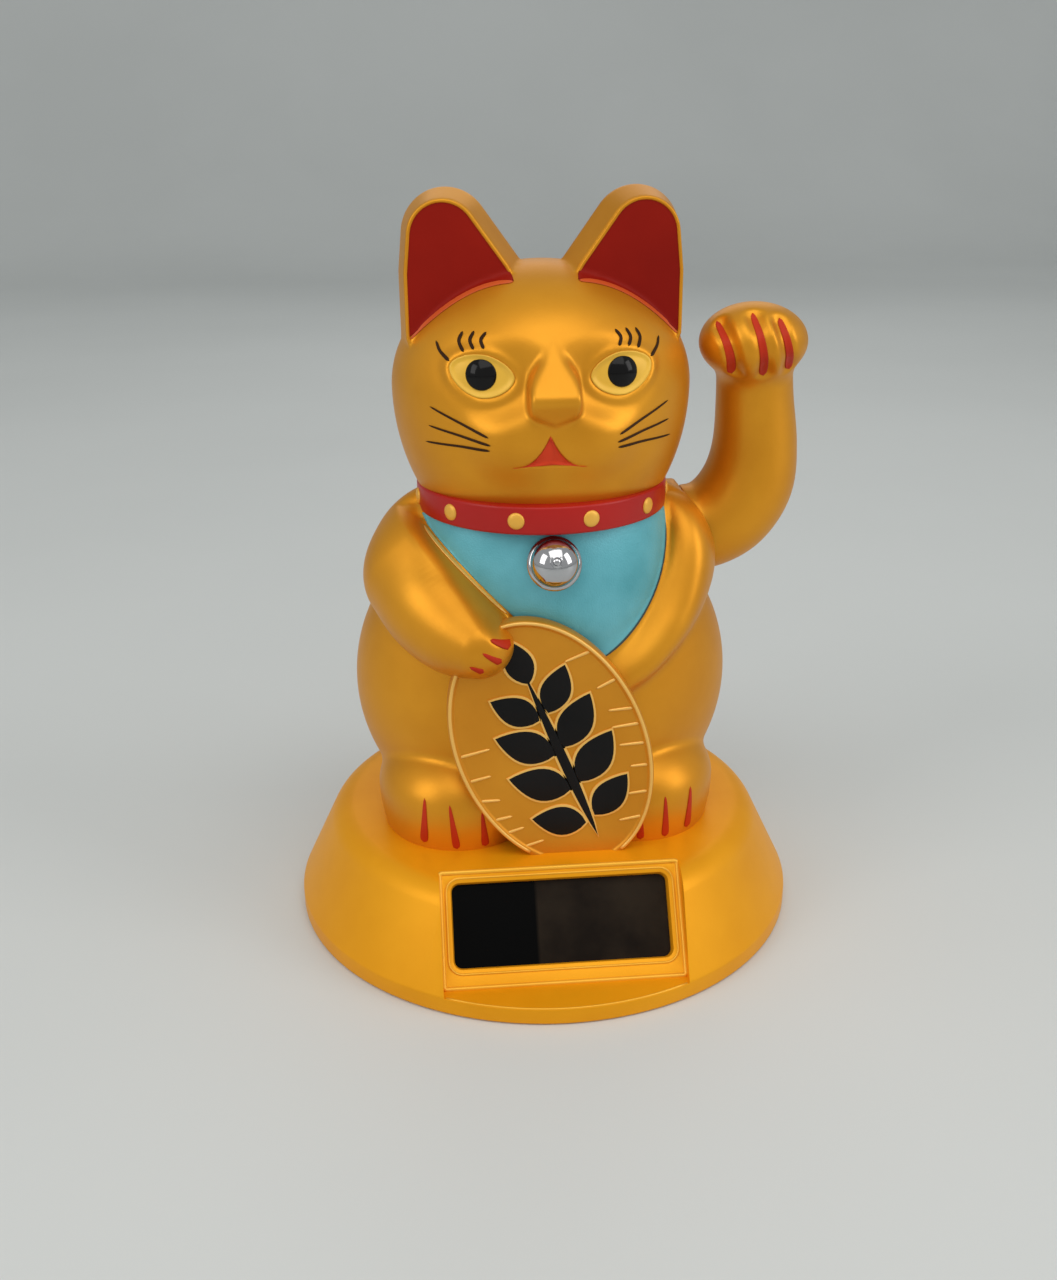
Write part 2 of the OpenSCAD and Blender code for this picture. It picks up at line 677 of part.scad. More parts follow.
module retainer_screws() color("silver")
  on_panel() for (x = [-1, 1]) translate([x * retainer_screw_x, window_y, -panel_t - cell_t - retainer_t])
    screw(retainer_t + retainer_screw_grip);

// Circuit board and coil on the cover

module circuit_board() color("darkgreen")
  translate([board_at[0], board_at[1], board_z]) linear_extrude(board_t)
    difference() {
      square([board_w, board_l], center = true);
      for (p = board_screw_at) translate([p[0] - board_at[0], p[1] - board_at[1]]) circle(through_r, $fn = form_fn);
    }

// A domed blob of resin over the chip
module driver_chip() color("black")
  intersection() {
    translate([chip_at[0], chip_at[1], board_z + board_t - 3.4]) sphere(5, $fn = form_fn);
    translate([chip_at[0], chip_at[1], board_z + board_t]) cylinder(h = 9, r = 5, $fn = form_fn);
  }

module storage_capacitor() color("midnightblue")
  translate([capacitor_at[0], capacitor_at[1], board_z + board_t]) {
    groove_z = 1.4;
    difference() {
      cylinder(h = capacitor_h, d = capacitor_d, $fn = form_fn);
      translate([0, 0, groove_z]) rotate_extrude($fn = form_fn)
        translate([capacitor_d / 2 + 0.15, 0]) circle(0.5, $fn = form_fn);
    }
  }

module board_screws() color("silver")
  at_each(board_screw_at, board_z + board_t) rotate([180, 0, 0]) screw(board_t + board_post_h - 0.2);

module coil_bobbin() color("white")
  translate([0, pivot_y, bobbin_z]) {
    flange_t = 0.8;
    difference() {
      union() {
        cylinder(h = flange_t, d = bobbin_d, $fn = form_fn);
        translate([0, 0, bobbin_h - flange_t]) cylinder(h = flange_t, d = bobbin_d, $fn = form_fn);
        cylinder(h = bobbin_h, d = bobbin_peg_d + 2.4, $fn = form_fn);
      }
      translate([0, 0, -1]) cylinder(h = bobbin_h + 2, r = bobbin_peg_d / 2 + fit_clear, $fn = form_fn);
    }
  }

module drive_coil() color("chocolate")
  translate([0, pivot_y, bobbin_z + 0.8]) difference() {
    cylinder(h = bobbin_h - 1.6, d = bobbin_d - 2 * coil_inset, $fn = form_fn);
    translate([0, 0, -1]) cylinder(h = bobbin_h, d = bobbin_peg_d + 2.4, $fn = form_fn);
  }

module solar_leads() color("red")
  for (r = solar_lead_routes) tube_along(r, lead_d / 2);

module coil_leads() color("chocolate")
  for (r = coil_lead_routes) tube_along(r, lead_d / 2);

// Bearing posts, one each side of the lever

module post_outline()
  difference() {
    union() {
      polygon([[pivot_y - 6, deck_h], [pivot_y + 6, deck_h], [pivot_y + 4.5, pivot_z], [pivot_y - 4.5, pivot_z]]);
      translate([pivot_y, pivot_z]) circle(4.5, $fn = form_fn);
    }
    translate([pivot_y, pivot_z]) circle(pin_d / 2 + pin_clear, $fn = form_fn);
  }

module bearing_post(side) {
  inner = post_gap / 2;
  outer = inner + post_t;
  gusset_h = 16;
  across_x(side > 0 ? inner : -outer, side > 0 ? outer : -inner) post_outline();
  difference() {
    translate([side > 0 ? outer - eps : -outer - post_flange_w, pivot_y - post_flange_l / 2, deck_h])
      cube([post_flange_w + eps, post_flange_l, post_flange_t]);
    at_each([for (y = post_screw_y) [side * post_screw_x, y]], deck_h - 1) cylinder(h = 9, r = through_r, $fn = form_fn);
  }
  translate([0, pivot_y + 0.6, deck_h + post_flange_t - eps]) rotate([90, 0, 0]) linear_extrude(1.2)
    polygon([[side * (outer - eps), 0], [side * (outer + post_flange_w), 0], [side * (outer - eps), gusset_h]]);
}

module left_bearing_post() color("white") bearing_post(1);
module right_bearing_post() color("white") bearing_post(-1);

module post_screws() color("silver")
  at_each([for (x = [-1, 1], y = post_screw_y) [x * post_screw_x, y]], deck_h + post_flange_t)
    rotate([180, 0, 0]) screw(post_flange_t + post_screw_grip);

// Swinging parts

module pivot_pin() color("silver")
  translate([0, pivot_y, pivot_z]) along_x(-pin_left, pin_right, pin_d / 2);

module pendulum_lever() color("white") {
  cup_z = magnet_z + 0.5;
  cup_top = magnet_z + magnet_t + cup_roof;
  hub_half = post_gap / 2 - hub_play;
  difference() {
    union() {
      translate([0, pivot_y, pivot_z]) along_x(-hub_half, hub_half, hub_d / 2);
      translate([-blade_t / 2, pivot_y - blade_w / 2, cup_top - eps]) cube([blade_t, blade_w, pivot_z - cup_top]);
      translate([0, pivot_y, cup_z]) cylinder(h = cup_top - cup_z, d = cup_d, $fn = form_fn);
    }
    translate([0, pivot_y, pivot_z]) along_x(-hub_half - 1, hub_half + 1, pin_d / 2);
    translate([0, pivot_y, cup_z - 1]) cylinder(h = magnet_z + magnet_t - cup_z + 1, d = magnet_d + 2 * fit_clear, $fn = form_fn);
  }
}

module drive_magnet() color("dimgray")
  translate([0, pivot_y, magnet_z]) cylinder(h = magnet_t, d = magnet_d, $fn = form_fn);

// Plugs the arm's root and grips the end of the pin
module arm_hub() color("white")
  translate([0, pivot_y, pivot_z]) difference() {
    along_x(arm_root_x, arm_root_x + arm_hub_l, arm_hub_r);
    along_x(arm_root_x - 1, pin_right, pin_d / 2);
  }

module arm_skin(grow = 0) {
  hull() {
    translate([0, pivot_y, pivot_z]) along_x(grow < 0 ? arm_root_x - 1 : arm_root_x, arm_root_x + arm_hub_l, arm_root_r + grow);
    ball(arm_chain[0], grow);
  }
  chain(arm_chain, grow);
  ellipsoid(paw_c, paw_s, grow);
}

module arm_half(front)
  difference() {
    arm_skin();
    arm_skin(-arm_wall);
    translate([arm_root_x - far, -far / 2, 0]) cube([far, far, far]);
    translate([-far / 2, front ? pivot_y : pivot_y - far, 0]) cube([far, far, far]);
  }

module arm_front_shell() color(gold) arm_half(true);
module arm_rear_shell() color(gold) arm_half(false);

front_shell();
rear_shell();
koban_coin();
collar_bell();
base_shell();
base_cover();
cover_screws();
foot_pads();
body_screws();
solar_cell();
cell_retainer();
retainer_screws();
circuit_board();
driver_chip();
storage_capacitor();
board_screws();
coil_bobbin();
drive_coil();
left_bearing_post();
right_bearing_post();
post_screws();
solar_leads();
coil_leads();
pivot_pin();
pendulum_lever();
drive_magnet();
arm_hub();
arm_front_shell();
arm_rear_shell();
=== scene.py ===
# %% [markdown]
# # A beckoning cat on a solar base
# The figurine is a hollow plastic cat, painted a satin gold, on a flared yellow base
# with a small solar window. Its left arm waves on a pin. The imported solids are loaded
# first and stay where they are: every piece made below sits in the same frame, in
# metres, rides on one of the two bodies, and stands for a solid where it replaces one.

# %% The frame and the tools
import math

import bmesh
import bpy
import numpy as np
from mathutils import Matrix, Vector
from mathutils.bvhtree import BVHTree


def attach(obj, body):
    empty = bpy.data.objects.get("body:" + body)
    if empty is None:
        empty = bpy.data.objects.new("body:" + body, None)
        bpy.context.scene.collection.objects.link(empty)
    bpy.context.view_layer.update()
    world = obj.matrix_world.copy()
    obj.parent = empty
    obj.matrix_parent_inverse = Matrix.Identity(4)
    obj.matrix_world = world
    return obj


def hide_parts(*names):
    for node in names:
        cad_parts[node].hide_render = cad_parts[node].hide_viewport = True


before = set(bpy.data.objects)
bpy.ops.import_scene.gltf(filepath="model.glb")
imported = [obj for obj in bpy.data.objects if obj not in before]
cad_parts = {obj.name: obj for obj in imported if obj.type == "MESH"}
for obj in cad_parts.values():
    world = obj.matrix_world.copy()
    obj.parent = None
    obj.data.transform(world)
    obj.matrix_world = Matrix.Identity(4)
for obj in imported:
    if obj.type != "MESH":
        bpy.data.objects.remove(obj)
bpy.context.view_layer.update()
MM = 0.001
print("solids loaded:", len(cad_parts))

# %% [markdown]
# ## Camera
# The photograph looks slightly down on the cat from a little to the viewer's left.
# The camera's place, its tilt and its small roll are set as plain angles, and the lens
# is given by its focal length on a 36 mm sensor, whose long side is the picture's height.

# %% Camera
CAMERA_AT = Vector((-20.607, -214.010, 133.0)) * MM
HEADING, TILT, ROLL = (math.radians(a) for a in (4.878, 21.5, 0.6))
forward = Vector((math.sin(HEADING) * math.cos(TILT), math.cos(HEADING) * math.cos(TILT), -math.sin(TILT)))
level_right = forward.cross(Vector((0, 0, 1))).normalized()
level_up = level_right.cross(forward)
right = level_right * math.cos(ROLL) - level_up * math.sin(ROLL)
up = level_right * math.sin(ROLL) + level_up * math.cos(ROLL)

lens = bpy.data.cameras.new("photo_camera")
lens.sensor_fit = "AUTO"
lens.sensor_width = 36
lens.lens = 36.56
lens.clip_start = 0.01
lens.clip_end = 50
camera = bpy.data.objects.new("photo_camera", lens)
turn = Matrix((right, up, -forward)).transposed().to_4x4()
camera.matrix_world = Matrix.Translation(CAMERA_AT) @ turn
bpy.context.scene.collection.objects.link(camera)
bpy.context.scene.camera = camera
print("camera", [round(c / MM) for c in CAMERA_AT], "mm")

# %% [markdown]
# ## Light and floor
# Soft boxes stand in for a room's ceiling lights: a wide one overhead and one at each
# side, so that the satin gold shows broad highlights on the brow, belly and shoulders.
# The floor is one large pale sheet that bends up into a backdrop far behind.

# %% Light and floor
def as_object(bm, name):
    """Turns a bmesh into an object of the scene, and frees it."""
    mesh = bpy.data.meshes.new(name)
    bm.to_mesh(mesh)
    bm.free()
    made = bpy.data.objects.new(name, mesh)
    bpy.context.scene.collection.objects.link(made)
    return made


def soft_box(name, place, aim, size, watts, tint):
    light = bpy.data.lights.new(name, "AREA")
    light.shape = "RECTANGLE"
    light.size, light.size_y = size
    light.energy = watts
    light.color = tint
    box = bpy.data.objects.new(name, light)
    box.location = place
    box.rotation_euler = (Vector(aim) - Vector(place)).to_track_quat("-Z", "Y").to_euler()
    bpy.context.scene.collection.objects.link(box)


soft_box("box_over", (0.05, -0.4, 0.72), (0, 0, 0.06), (0.7, 0.5), 1.85, (1.0, 0.98, 0.95))
soft_box("box_left", (-0.6, -0.35, 0.45), (0, 0, 0.06), (0.35, 0.5), 1.4, (1.0, 0.98, 0.96))
soft_box("box_right", (0.62, -0.3, 0.4), (0, 0, 0.06), (0.3, 0.5), 1.4, (1.0, 0.98, 0.96))
soft_box("box_rear", (0.1, 0.7, 0.5), (0, 0, 0.06), (0.6, 0.4), 0.5, (1.0, 1.0, 1.0))

world = bpy.data.worlds.new("studio")
world.use_nodes = True
world.node_tree.nodes["Background"].inputs["Color"].default_value = (0.78, 0.80, 0.80, 1)
world.node_tree.nodes["Background"].inputs["Strength"].default_value = 0.62
bpy.context.scene.world = world
bpy.context.scene.view_settings.view_transform = "Standard"

FLOOR_HALF, BACKDROP_Y, BACKDROP_BEND, BACKDROP_TOP, BEND_STEPS = 3.0, 1.6, 0.5, 3.0, 12
bm = bmesh.new()
front_edge = [bm.verts.new((x, -FLOOR_HALF, 0)) for x in (-FLOOR_HALF, FLOOR_HALF)]
edge = bm.edges.new(front_edge)
floor_path = [(BACKDROP_Y - BACKDROP_BEND, 0)]
for step in range(1, BEND_STEPS + 1):
    a = math.radians(90 * step / BEND_STEPS)
    y = BACKDROP_Y - BACKDROP_BEND * (1 - math.sin(a))
    floor_path.append((y, BACKDROP_BEND * (1 - math.cos(a))))
floor_path.append((BACKDROP_Y, BACKDROP_TOP))
for y, z in floor_path:
    made = bmesh.ops.extrude_edge_only(bm, edges=[edge])["geom"]
    edge = next(e for e in made if isinstance(e, bmesh.types.BMEdge))
    for v in edge.verts:
        v.co.y, v.co.z = y, z
for face in bm.faces:
    face.smooth = True
bmesh.ops.recalc_face_normals(bm, faces=bm.faces)
floor = as_object(bm, "floor")
print("floor and four soft boxes")

# %% [markdown]
# ## Finishes
# Every finish is a Principled shader with patterns on Object coordinates. One helper
# makes the common case: two tones mixed by a cloudy noise, a roughness that wanders
# between two values, and a fine bump. Constant numbers go straight on the shader.

# %% The finish helper
BUMP_HEIGHT = 0.0002


def feed(tree, socket, value):
    """Gives a socket a number, or a wire from another node's output."""
    if isinstance(value, bpy.types.NodeSocket):
        tree.links.new(value, socket)
    else:
        socket.default_value = value


def add_node(tree, kind, **inputs):
    """A new shader node with some inputs fed. An underscore in a name stands for a space."""
    node = tree.nodes.new("ShaderNode" + kind)
    for name, value in inputs.items():
        feed(tree, node.inputs[name.replace("_", " ")], value)
    return node


def mixed(tree, share, ends):
    """A colour between two ends, each a linear colour or a wire."""
    mix = tree.nodes.new("ShaderNodeMix")
    mix.data_type = "RGBA"
    feed(tree, mix.inputs["Factor"], share)
    for name, end in zip("AB", ends):
        feed(tree, mix.inputs[name], (*end, 1) if isinstance(end, tuple) else end)
    return mix.outputs["Result"]


def finish(name, tones, rough, metal=0.0, cloud=60.0, grain=2500.0, bump=0.02, **extra):
    """A Principled finish from two linear colours and two roughness values.

    cloud and grain are the patterns' scales per metre, extra sets further sockets.
    """
    material = bpy.data.materials.new(name)
    material.use_nodes = True
    tree = material.node_tree
    shader = tree.nodes["Principled BSDF"].inputs
    shader["Metallic"].default_value = metal
    for socket, value in extra.items():
        shader[socket.replace("_", " ").title().replace("Ior", "IOR")].default_value = value
    place = tree.nodes.new("ShaderNodeTexCoord").outputs["Object"]
    clouds = add_node(tree, "TexNoise", Vector=place, Scale=cloud, Detail=4).outputs["Fac"]
    spread = add_node(tree, "MapRange", Value=clouds, From_Min=0.35, From_Max=0.65)
    speck = add_node(tree, "TexNoise", Vector=place, Scale=grain, Detail=3).outputs["Fac"]
    polish = add_node(tree, "MapRange", Value=speck, To_Min=rough[0], To_Max=rough[1])
    relief = add_node(tree, "Bump", Height=speck, Strength=bump, Distance=BUMP_HEIGHT)
    feed(tree, shader["Base Color"], mixed(tree, spread.outputs["Result"], tones))
    feed(tree, shader["Roughness"], polish.outputs["Result"])
    feed(tree, shader["Normal"], relief.outputs["Normal"])
    return material


GOLD = finish("satin_gold", [(0.68, 0.275, 0.010), (0.76, 0.325, 0.015)], (0.36, 0.44), metal=0.62,
              bump=0.05, specular_ior_level=0.4)
YELLOW = finish("base_yellow", [(0.84, 0.345, 0.003), (0.90, 0.385, 0.006)], (0.38, 0.48), metal=0.35,
                bump=0.04, specular_ior_level=0.25)
FLOOR = finish("pale_floor", [(0.62, 0.64, 0.63), (0.66, 0.68, 0.67)], (0.5, 0.6), cloud=3, grain=300,
               bump=0.0)
floor.data.materials.append(FLOOR)
print("finishes so far:", len(bpy.data.materials))

# %% [markdown]
# ## Soft forms
# A moulded animal has no edges to extrude: its forms swell into each other. So the cat
# is written down as a field, a function that is negative inside the form and positive
# outside. Eggs and tapered limbs are joined softly, which leaves a fillet where they
# meet. The skin itself starts as a heap of spheres that a voxel remesh fuses into one
# even net, and then every corner of the net slides along the field's slope until it
# lies on the form. Lengths in the fields are millimetres, as on the drawing.

# %% Fields
def egg(p, centre, half, drop=None):
    """Distance to an ellipsoid, whose lower half may reach down further."""
    q = p - np.array(centre)
    h = np.tile(np.array(half, float), (len(p), 1))
    if drop:
        h[q[:, 2] < 0, 2] = drop
    k = np.linalg.norm(q / h, axis=1)
    return k * (k - 1) / np.maximum(np.linalg.norm(q / h**2, axis=1), 1e-9)


def smooth_chain(places, steps=8):
    """Many places on a smooth curve through a few (centre, radius) places."""
    rows = np.array([(*centre, radius) for centre, radius in places], float)
    rows = np.vstack([2 * rows[0] - rows[1], rows, 2 * rows[-1] - rows[-2]])
    curve = []
    for a, b, c, d in zip(rows, rows[1:], rows[2:], rows[3:]):
        for t in np.arange(steps) / steps:
            bend = (2 * a - 5 * b + 4 * c - d) * t**2 + (3 * b - a - 3 * c + d) * t**3
            curve.append(b + 0.5 * ((c - a) * t + bend))
    curve.append(rows[-2])
    return [(row[:-1], row[-1]) for row in curve]


def limb(p, places, margin=4.0):
    """Distance to a chain of tapered rods with round ends. Far from it, the distance is rough."""
    centres = np.array([centre for centre, _ in places])
    reach = max(radius for _, radius in places) + margin
    away = np.maximum(centres.min(axis=0) - reach - p, p - centres.max(axis=0) - reach).max(axis=1)
    best = away + margin
    near = away < 0
    q = p[near]
    nearest = np.full(len(q), 1e3)
    for (a, ra), (b, rb) in zip(places, places[1:]):
        t = np.clip((q - a) @ (b - a) / ((b - a) @ (b - a)), 0, 1)
        rod = np.linalg.norm(q - a - t[:, None] * (b - a), axis=1) - (ra + t * (rb - ra))
        nearest = np.minimum(nearest, rod)
    best[near] = nearest
    return best


def soft_join(a, b, fillet):
    h = np.clip(0.5 + 0.5 * (b - a) / fillet, 0, 1)
    return b * (1 - h) + a * h - fillet * h * (1 - h)


def soft_both(a, b, fillet):
    """Where both forms are, with a rounded edge."""
    return -soft_join(-a, -b, fillet)


def slope(field, p, step=0.02):
    """The field's value and its direction of growth."""
    value = field(p)
    grad = np.stack([field(p + step * axis) - value for axis in np.eye(3)], axis=1) / step
    return value, grad


def settle(bm, field, rounds=7, reach=1.5):
    """Slides every corner of the net onto the field's surface."""
    p = np.array([v.co for v in bm.verts])
    for _ in range(rounds):
        value, grad = slope(field, p)
        move = value / np.maximum((grad**2).sum(axis=1), 0.05)
        p -= grad * np.clip(move, -reach, reach)[:, None]
    for v, co in zip(bm.verts, p):
        v.co = co
    return float(np.abs(field(p)).mean())


print("fields ready")

# %% [markdown]
# ## The cat's forms
# A sitting cat in simple masses: a round torso, a rump and a lap, two feet, a chest and
# two shoulders. The right arm lies across the chest down to the coin, and the left
# shoulder is a short band beside the bib. Both rise in a slope from the bib's edge. The
# head is an egg that narrows to the collar.

# %% Body field
DECK, SEAM_Y = 18.5, -3.0
PIVOT_Y, PIVOT_Z = 3.0, 68.0
ARM_ROOT_X, SEAT_X, SEAT_R, RECESS_R = 24.6, 24.0, 8.0, 9.2
TORSO = ((0, 2, 42), (33, 22.5, 32))
RUMP = ((0, 9, 24.5), (28, 17.5, 15))
LAP = ((0, -1.5, 23.5), (15, 16.5, 13))
FOOT, FOOT_DROP = ((15.5, -6.5, 25.5), (14.2, 15.2, 9.8)), 20.0
SHOULDER = ((14.5, -3.4, 64.2), (15, 14.4, 14.5))
CHEST = ((0, -1, 62), (23, 19.5, 30))
RIGHT_ARM = smooth_chain([((-20.8, -7.5, 63.6), 9.5), ((-18.2, -13, 60.6), 9.2),
                          ((-15.2, -17.6, 58.2), 8.0), ((-12.2, -22.6, 57), 5.6)])
LEFT_SHOULDER = smooth_chain([((18, -4, 65.2), 8.6), ((19, -10.5, 59.2), 7), ((14.5, -15.6, 53), 5.4),
                              ((10.5, -17.6, 48.5), 3.6)], steps=16)
BIB_EDGE, BIB_EDGE_TURN = 38.95, math.radians(46.1)
BIB_MIDDLE, BIB_R, BIB_HALF, BIB_BACK = (-3.0, 72.0), 23.0, 20.3, -4.0
STRAIGHT_RISE, ROUND_RISE = 3.2, 1.3


def mirrored(p):
    """Points folded onto the cat's left side, so that a paired form is written once."""
    return np.column_stack([np.abs(p[:, 0]), p[:, 1:]])


def beyond_bib(x, z):
    """Distances in the front view beyond the bib's straight edge and beyond its round one."""
    straight = BIB_EDGE - x * math.cos(BIB_EDGE_TURN) - z * math.sin(BIB_EDGE_TURN)
    rounded = np.hypot(x - BIB_MIDDLE[0], z - BIB_MIDDLE[1]) - BIB_R
    return straight, np.maximum(rounded, np.abs(x) - BIB_HALF)


def body_field(p):
    m = mirrored(p)
    body = soft_join(egg(p, *TORSO), egg(p, *RUMP), 5)
    body = soft_join(body, egg(p, *LAP), 2)
    body = soft_join(body, egg(m, *FOOT, drop=FOOT_DROP), 1.2)
    arms = np.minimum(limb(p, LEFT_SHOULDER), limb(p, RIGHT_ARM))
    arms = soft_join(egg(m, *SHOULDER), arms, 2.5)
    chest = egg(p, *CHEST)
    straight, rounded = beyond_bib(p[:, 0], p[:, 2])
    rise = np.maximum(STRAIGHT_RISE * straight, ROUND_RISE * rounded)
    before = np.maximum(p[:, 1] - BIB_BACK, 0)
    arms = soft_both(arms, chest - rise - before, 4)
    body = soft_join(soft_join(body, arms, 1.5), chest, 1.2)
    from_pin = np.hypot(p[:, 1] - PIVOT_Y, p[:, 2] - PIVOT_Z)
    seat = soft_both(from_pin - SEAT_R, np.abs(p[:, 0] - SEAT_X / 2) - SEAT_X / 2, 0.5)
    return soft_join(body, seat, 1)


def beside_arm(p):
    """Negative in the round recess in which the waving arm turns."""
    from_pin = np.hypot(p[:, 1] - PIVOT_Y, p[:, 2] - PIVOT_Z)
    return np.maximum(from_pin - RECESS_R, SEAT_X - p[:, 0])


# %% [markdown]
# ## Head, face and ears
# The face is carved into the egg: shallow sockets, a wedge of a nose with a flat front
# and a flat underside, soft jowls, a raised lid around each eye and a small hollow for
# the mouth. An ear is a rounded triangle that is widest at the seam and narrows towards
# its flat front.

# %% Head field
HEAD = ((0, -1.5, 94.3), (24.3, 21.5, 19.5))
HEAD_DROP = 30
EAR_FACE, EAR_BACK = -8.5, 1.5
EAR_SPOTS = [((14.8, 117.8), 7.0), ((19.5, 103), 2.9), ((4.6, 109.0), 3.5)]
EAR_FLARE, EAR_LEAN, EAR_TAPER = 0.27, 0.13, 0.35
JOWL = ((4.6, -17.9, 89.3), (6.6, 5.2, 5.2))
SOCKET = ((10.4, -23.4, 98.8), (8.0, 3.8, 5.6))
LID_RISE, LID_AT, LID_SPREAD, EYE_SUNK, MOUTH_SUNK = 0.32, 0.6, 0.75, 0.25, 0.5
FACE_FROM, FACE_FULL = -12, -15
NOSE_BRIDGE, NOSE_TIP, NOSE_WING = (0.7, -20.8, 103.0), (5.2, -26.4, 95.7), (5.4, -21.6, 96.4)
NOSE_CORNER, NOSE_POINT, NOSE_HALF, NOSE_BACK = (4.1, -23.0, 93.2), (0.0, -23.6, 91.0), 3.85, -12.0
EYE_AT, EYE_TURN, EYE_HALF, EYE_POWER = (10.48, 98.98), math.radians(10.3), 4.75, 1.75
LID_UP, LID_DOWN = 2.6, 3.5
MOUTH_X, MOUTH_TOP, MOUTH_LOW, MOUTH_HALF = -0.7, 90.2, 85.2, 5.6
MOUTH_HOLLOW, MOUTH_ARCH = 2.4, 0.3


def smooth_step(low, high, value):
    t = np.clip((value - low) / (high - low), 0, 1)
    return t * t * (3 - 2 * t)


def eye_distance(m):
    """Distance from the edge of the eye's opening, seen from the front, negative inside."""
    dx, dz = m[:, 0] - EYE_AT[0], m[:, 2] - EYE_AT[1]
    along = np.abs(dx * math.cos(EYE_TURN) + dz * math.sin(EYE_TURN)) / EYE_HALF
    rise = dz * math.cos(EYE_TURN) - dx * math.sin(EYE_TURN)
    lid = np.where(rise > 0, LID_UP, LID_DOWN)
    rise = np.abs(rise) / lid
    size = (along**EYE_POWER + rise**EYE_POWER) ** (1 / EYE_POWER) + 1e-6
    steep = np.hypot(along ** (EYE_POWER - 1) / EYE_HALF, rise ** (EYE_POWER - 1) / lid)
    return (size - 1) / np.maximum(steep * size ** (1 - EYE_POWER), 0.1)


def mouth_edges(x):
    """Heights of the mouth's upper and lower edge: a triangle with hollow upper edges."""
    share = np.clip(np.abs(x - MOUTH_X) / MOUTH_HALF, 0, 1)
    top = MOUTH_LOW + (MOUTH_TOP - MOUTH_LOW) * (1 - share) ** MOUTH_HOLLOW
    return top, MOUTH_LOW + MOUTH_ARCH * (1 - share**2)


def mouth_distance(p):
    """Negative inside the mouth's outline."""
    top, low = mouth_edges(p[:, 0])
    return np.maximum.reduce([p[:, 2] - top, low - p[:, 2], np.abs(p[:, 0] - MOUTH_X) - MOUTH_HALF + 0.3])


def flat_side(p, a, b, c, outwards):
    """Distance to the plane through three points, positive on the side that `outwards` points to."""
    normal = np.cross(np.subtract(b, a), np.subtract(c, a))
    normal = normal / np.linalg.norm(normal) * np.sign(normal @ np.array(outwards))
    return (p - np.array(a)) @ normal


def nose_field(m):
    """A wedge: flat front and underside, two sides that meet at the bridge, a blunt point below."""
    across = (1.0, 0, 0)
    front = flat_side(m, NOSE_BRIDGE, NOSE_TIP, np.subtract(NOSE_TIP, across), (0, -1, 0))
    under = flat_side(m, NOSE_POINT, NOSE_TIP, np.subtract(NOSE_TIP, across), (0, 0, -1))
    side = flat_side(m, NOSE_BRIDGE, NOSE_TIP, NOSE_WING, across)
    low = flat_side(m, NOSE_CORNER, NOSE_POINT, np.add(NOSE_POINT, (0, 1, 0)), (0, 0, -1))
    wedge = soft_both(soft_both(front, under, 1.2), side, 1.2)
    limits = soft_both(m[:, 0] - NOSE_HALF, m[:, 2] - NOSE_BRIDGE[2] - 0.6, 0.5)
    return soft_both(soft_both(wedge, low, 1.2), np.maximum(limits, m[:, 1] - NOSE_BACK), 1.0)


def ear_outline(flat, before):
    """Distance to the ear's front view, a rounded triangle that is smaller before the seam."""
    turns = np.linspace(0, 2 * np.pi, 60, endpoint=False)
    ways = np.column_stack([np.cos(turns), np.sin(turns)])
    reach = np.max([ways @ np.array(spot) + r for spot, r in EAR_SPOTS], axis=0)
    shift = np.column_stack([EAR_LEAN * before, 0 * before])
    return np.max((flat - shift) @ ways.T - reach, axis=1) + EAR_FLARE * before


def ear_field(m):
    ahead = SEAM_Y - m[:, 1]
    side = ear_outline(m[:, [0, 2]], np.maximum(ahead, 0)) + EAR_TAPER * np.maximum(-ahead, 0)
    return soft_both(soft_both(side, m[:, 1] - EAR_BACK, 4), EAR_FACE - m[:, 1], 0.3)


def head_field(p):
    m = mirrored(p)
    head = egg(p, *HEAD, drop=HEAD_DROP)
    head = soft_join(head, egg(m, *JOWL), 4)
    head = soft_both(head, -egg(m, *SOCKET), 3.5)
    head = soft_join(head, nose_field(m), 0.8)
    eye = eye_distance(m)
    lid = LID_RISE * np.exp(-(((eye - LID_AT) / LID_SPREAD) ** 2))
    sunk = -EYE_SUNK * smooth_step(0.3, -0.8, eye)
    pit = -MOUTH_SUNK * smooth_step(0.2, -0.5, mouth_distance(p))
    facing = smooth_step(FACE_FROM, FACE_FULL, p[:, 1])
    head = head - facing * (lid + sunk + pit)
    return soft_join(head, ear_field(m), 0.8)


def cat_field(p):
    return soft_join(body_field(p), head_field(p), 0.8)


print("eye opening", 2 * EYE_HALF, "mm, mouth", 2 * MOUTH_HALF, "mm")

# %% [markdown]
# ## Skins
# A mould maker would shape the cat in clay. Here the clay is a heap of icospheres, one
# for each mass, which a voxel remesh fuses. The net then settles on the field. The
# shells meet at a seam that runs over the ears and down both sides, so the skin is cut
# there and at the deck, and the cuts are filled, which leaves two closed pieces. Inside
# runs a second, coarser net, one wall deeper, so that the shells are hollow like moulded
# ones and the pendulum has room.

# %% Clay helpers
WELD = 0.02
NECK_LUMP, NOSE_LUMP = ((0, -1.5, 85), (23, 20, 12)), ((0, -23.5, 96.5), (3.5, 4, 6))


def corners_of(geom):
    return [v for v in geom if isinstance(v, bmesh.types.BMVert)]


def lump(bm, centre, half, share=1.0):
    shape = Matrix.Translation(centre) @ Matrix.Diagonal((*(share * h for h in half), 1))
    bmesh.ops.create_icosphere(bm, subdivisions=3, radius=1, matrix=shape)


def lump_chain(bm, places):
    for centre, r in places:
        lump(bm, centre, (r, r, r))


def rod(x_from, x_to, radius):
    """A cylinder along the pin's axis."""
    bm = bmesh.new()
    middle = ((x_from + x_to) / 2, PIVOT_Y, PIVOT_Z)
    place = Matrix.Translation(middle) @ Matrix.Rotation(math.pi / 2, 4, "Y")
    bmesh.ops.create_cone(bm, cap_ends=True, segments=96, radius1=radius, radius2=radius,
                          depth=x_to - x_from, matrix=place)
    return bm


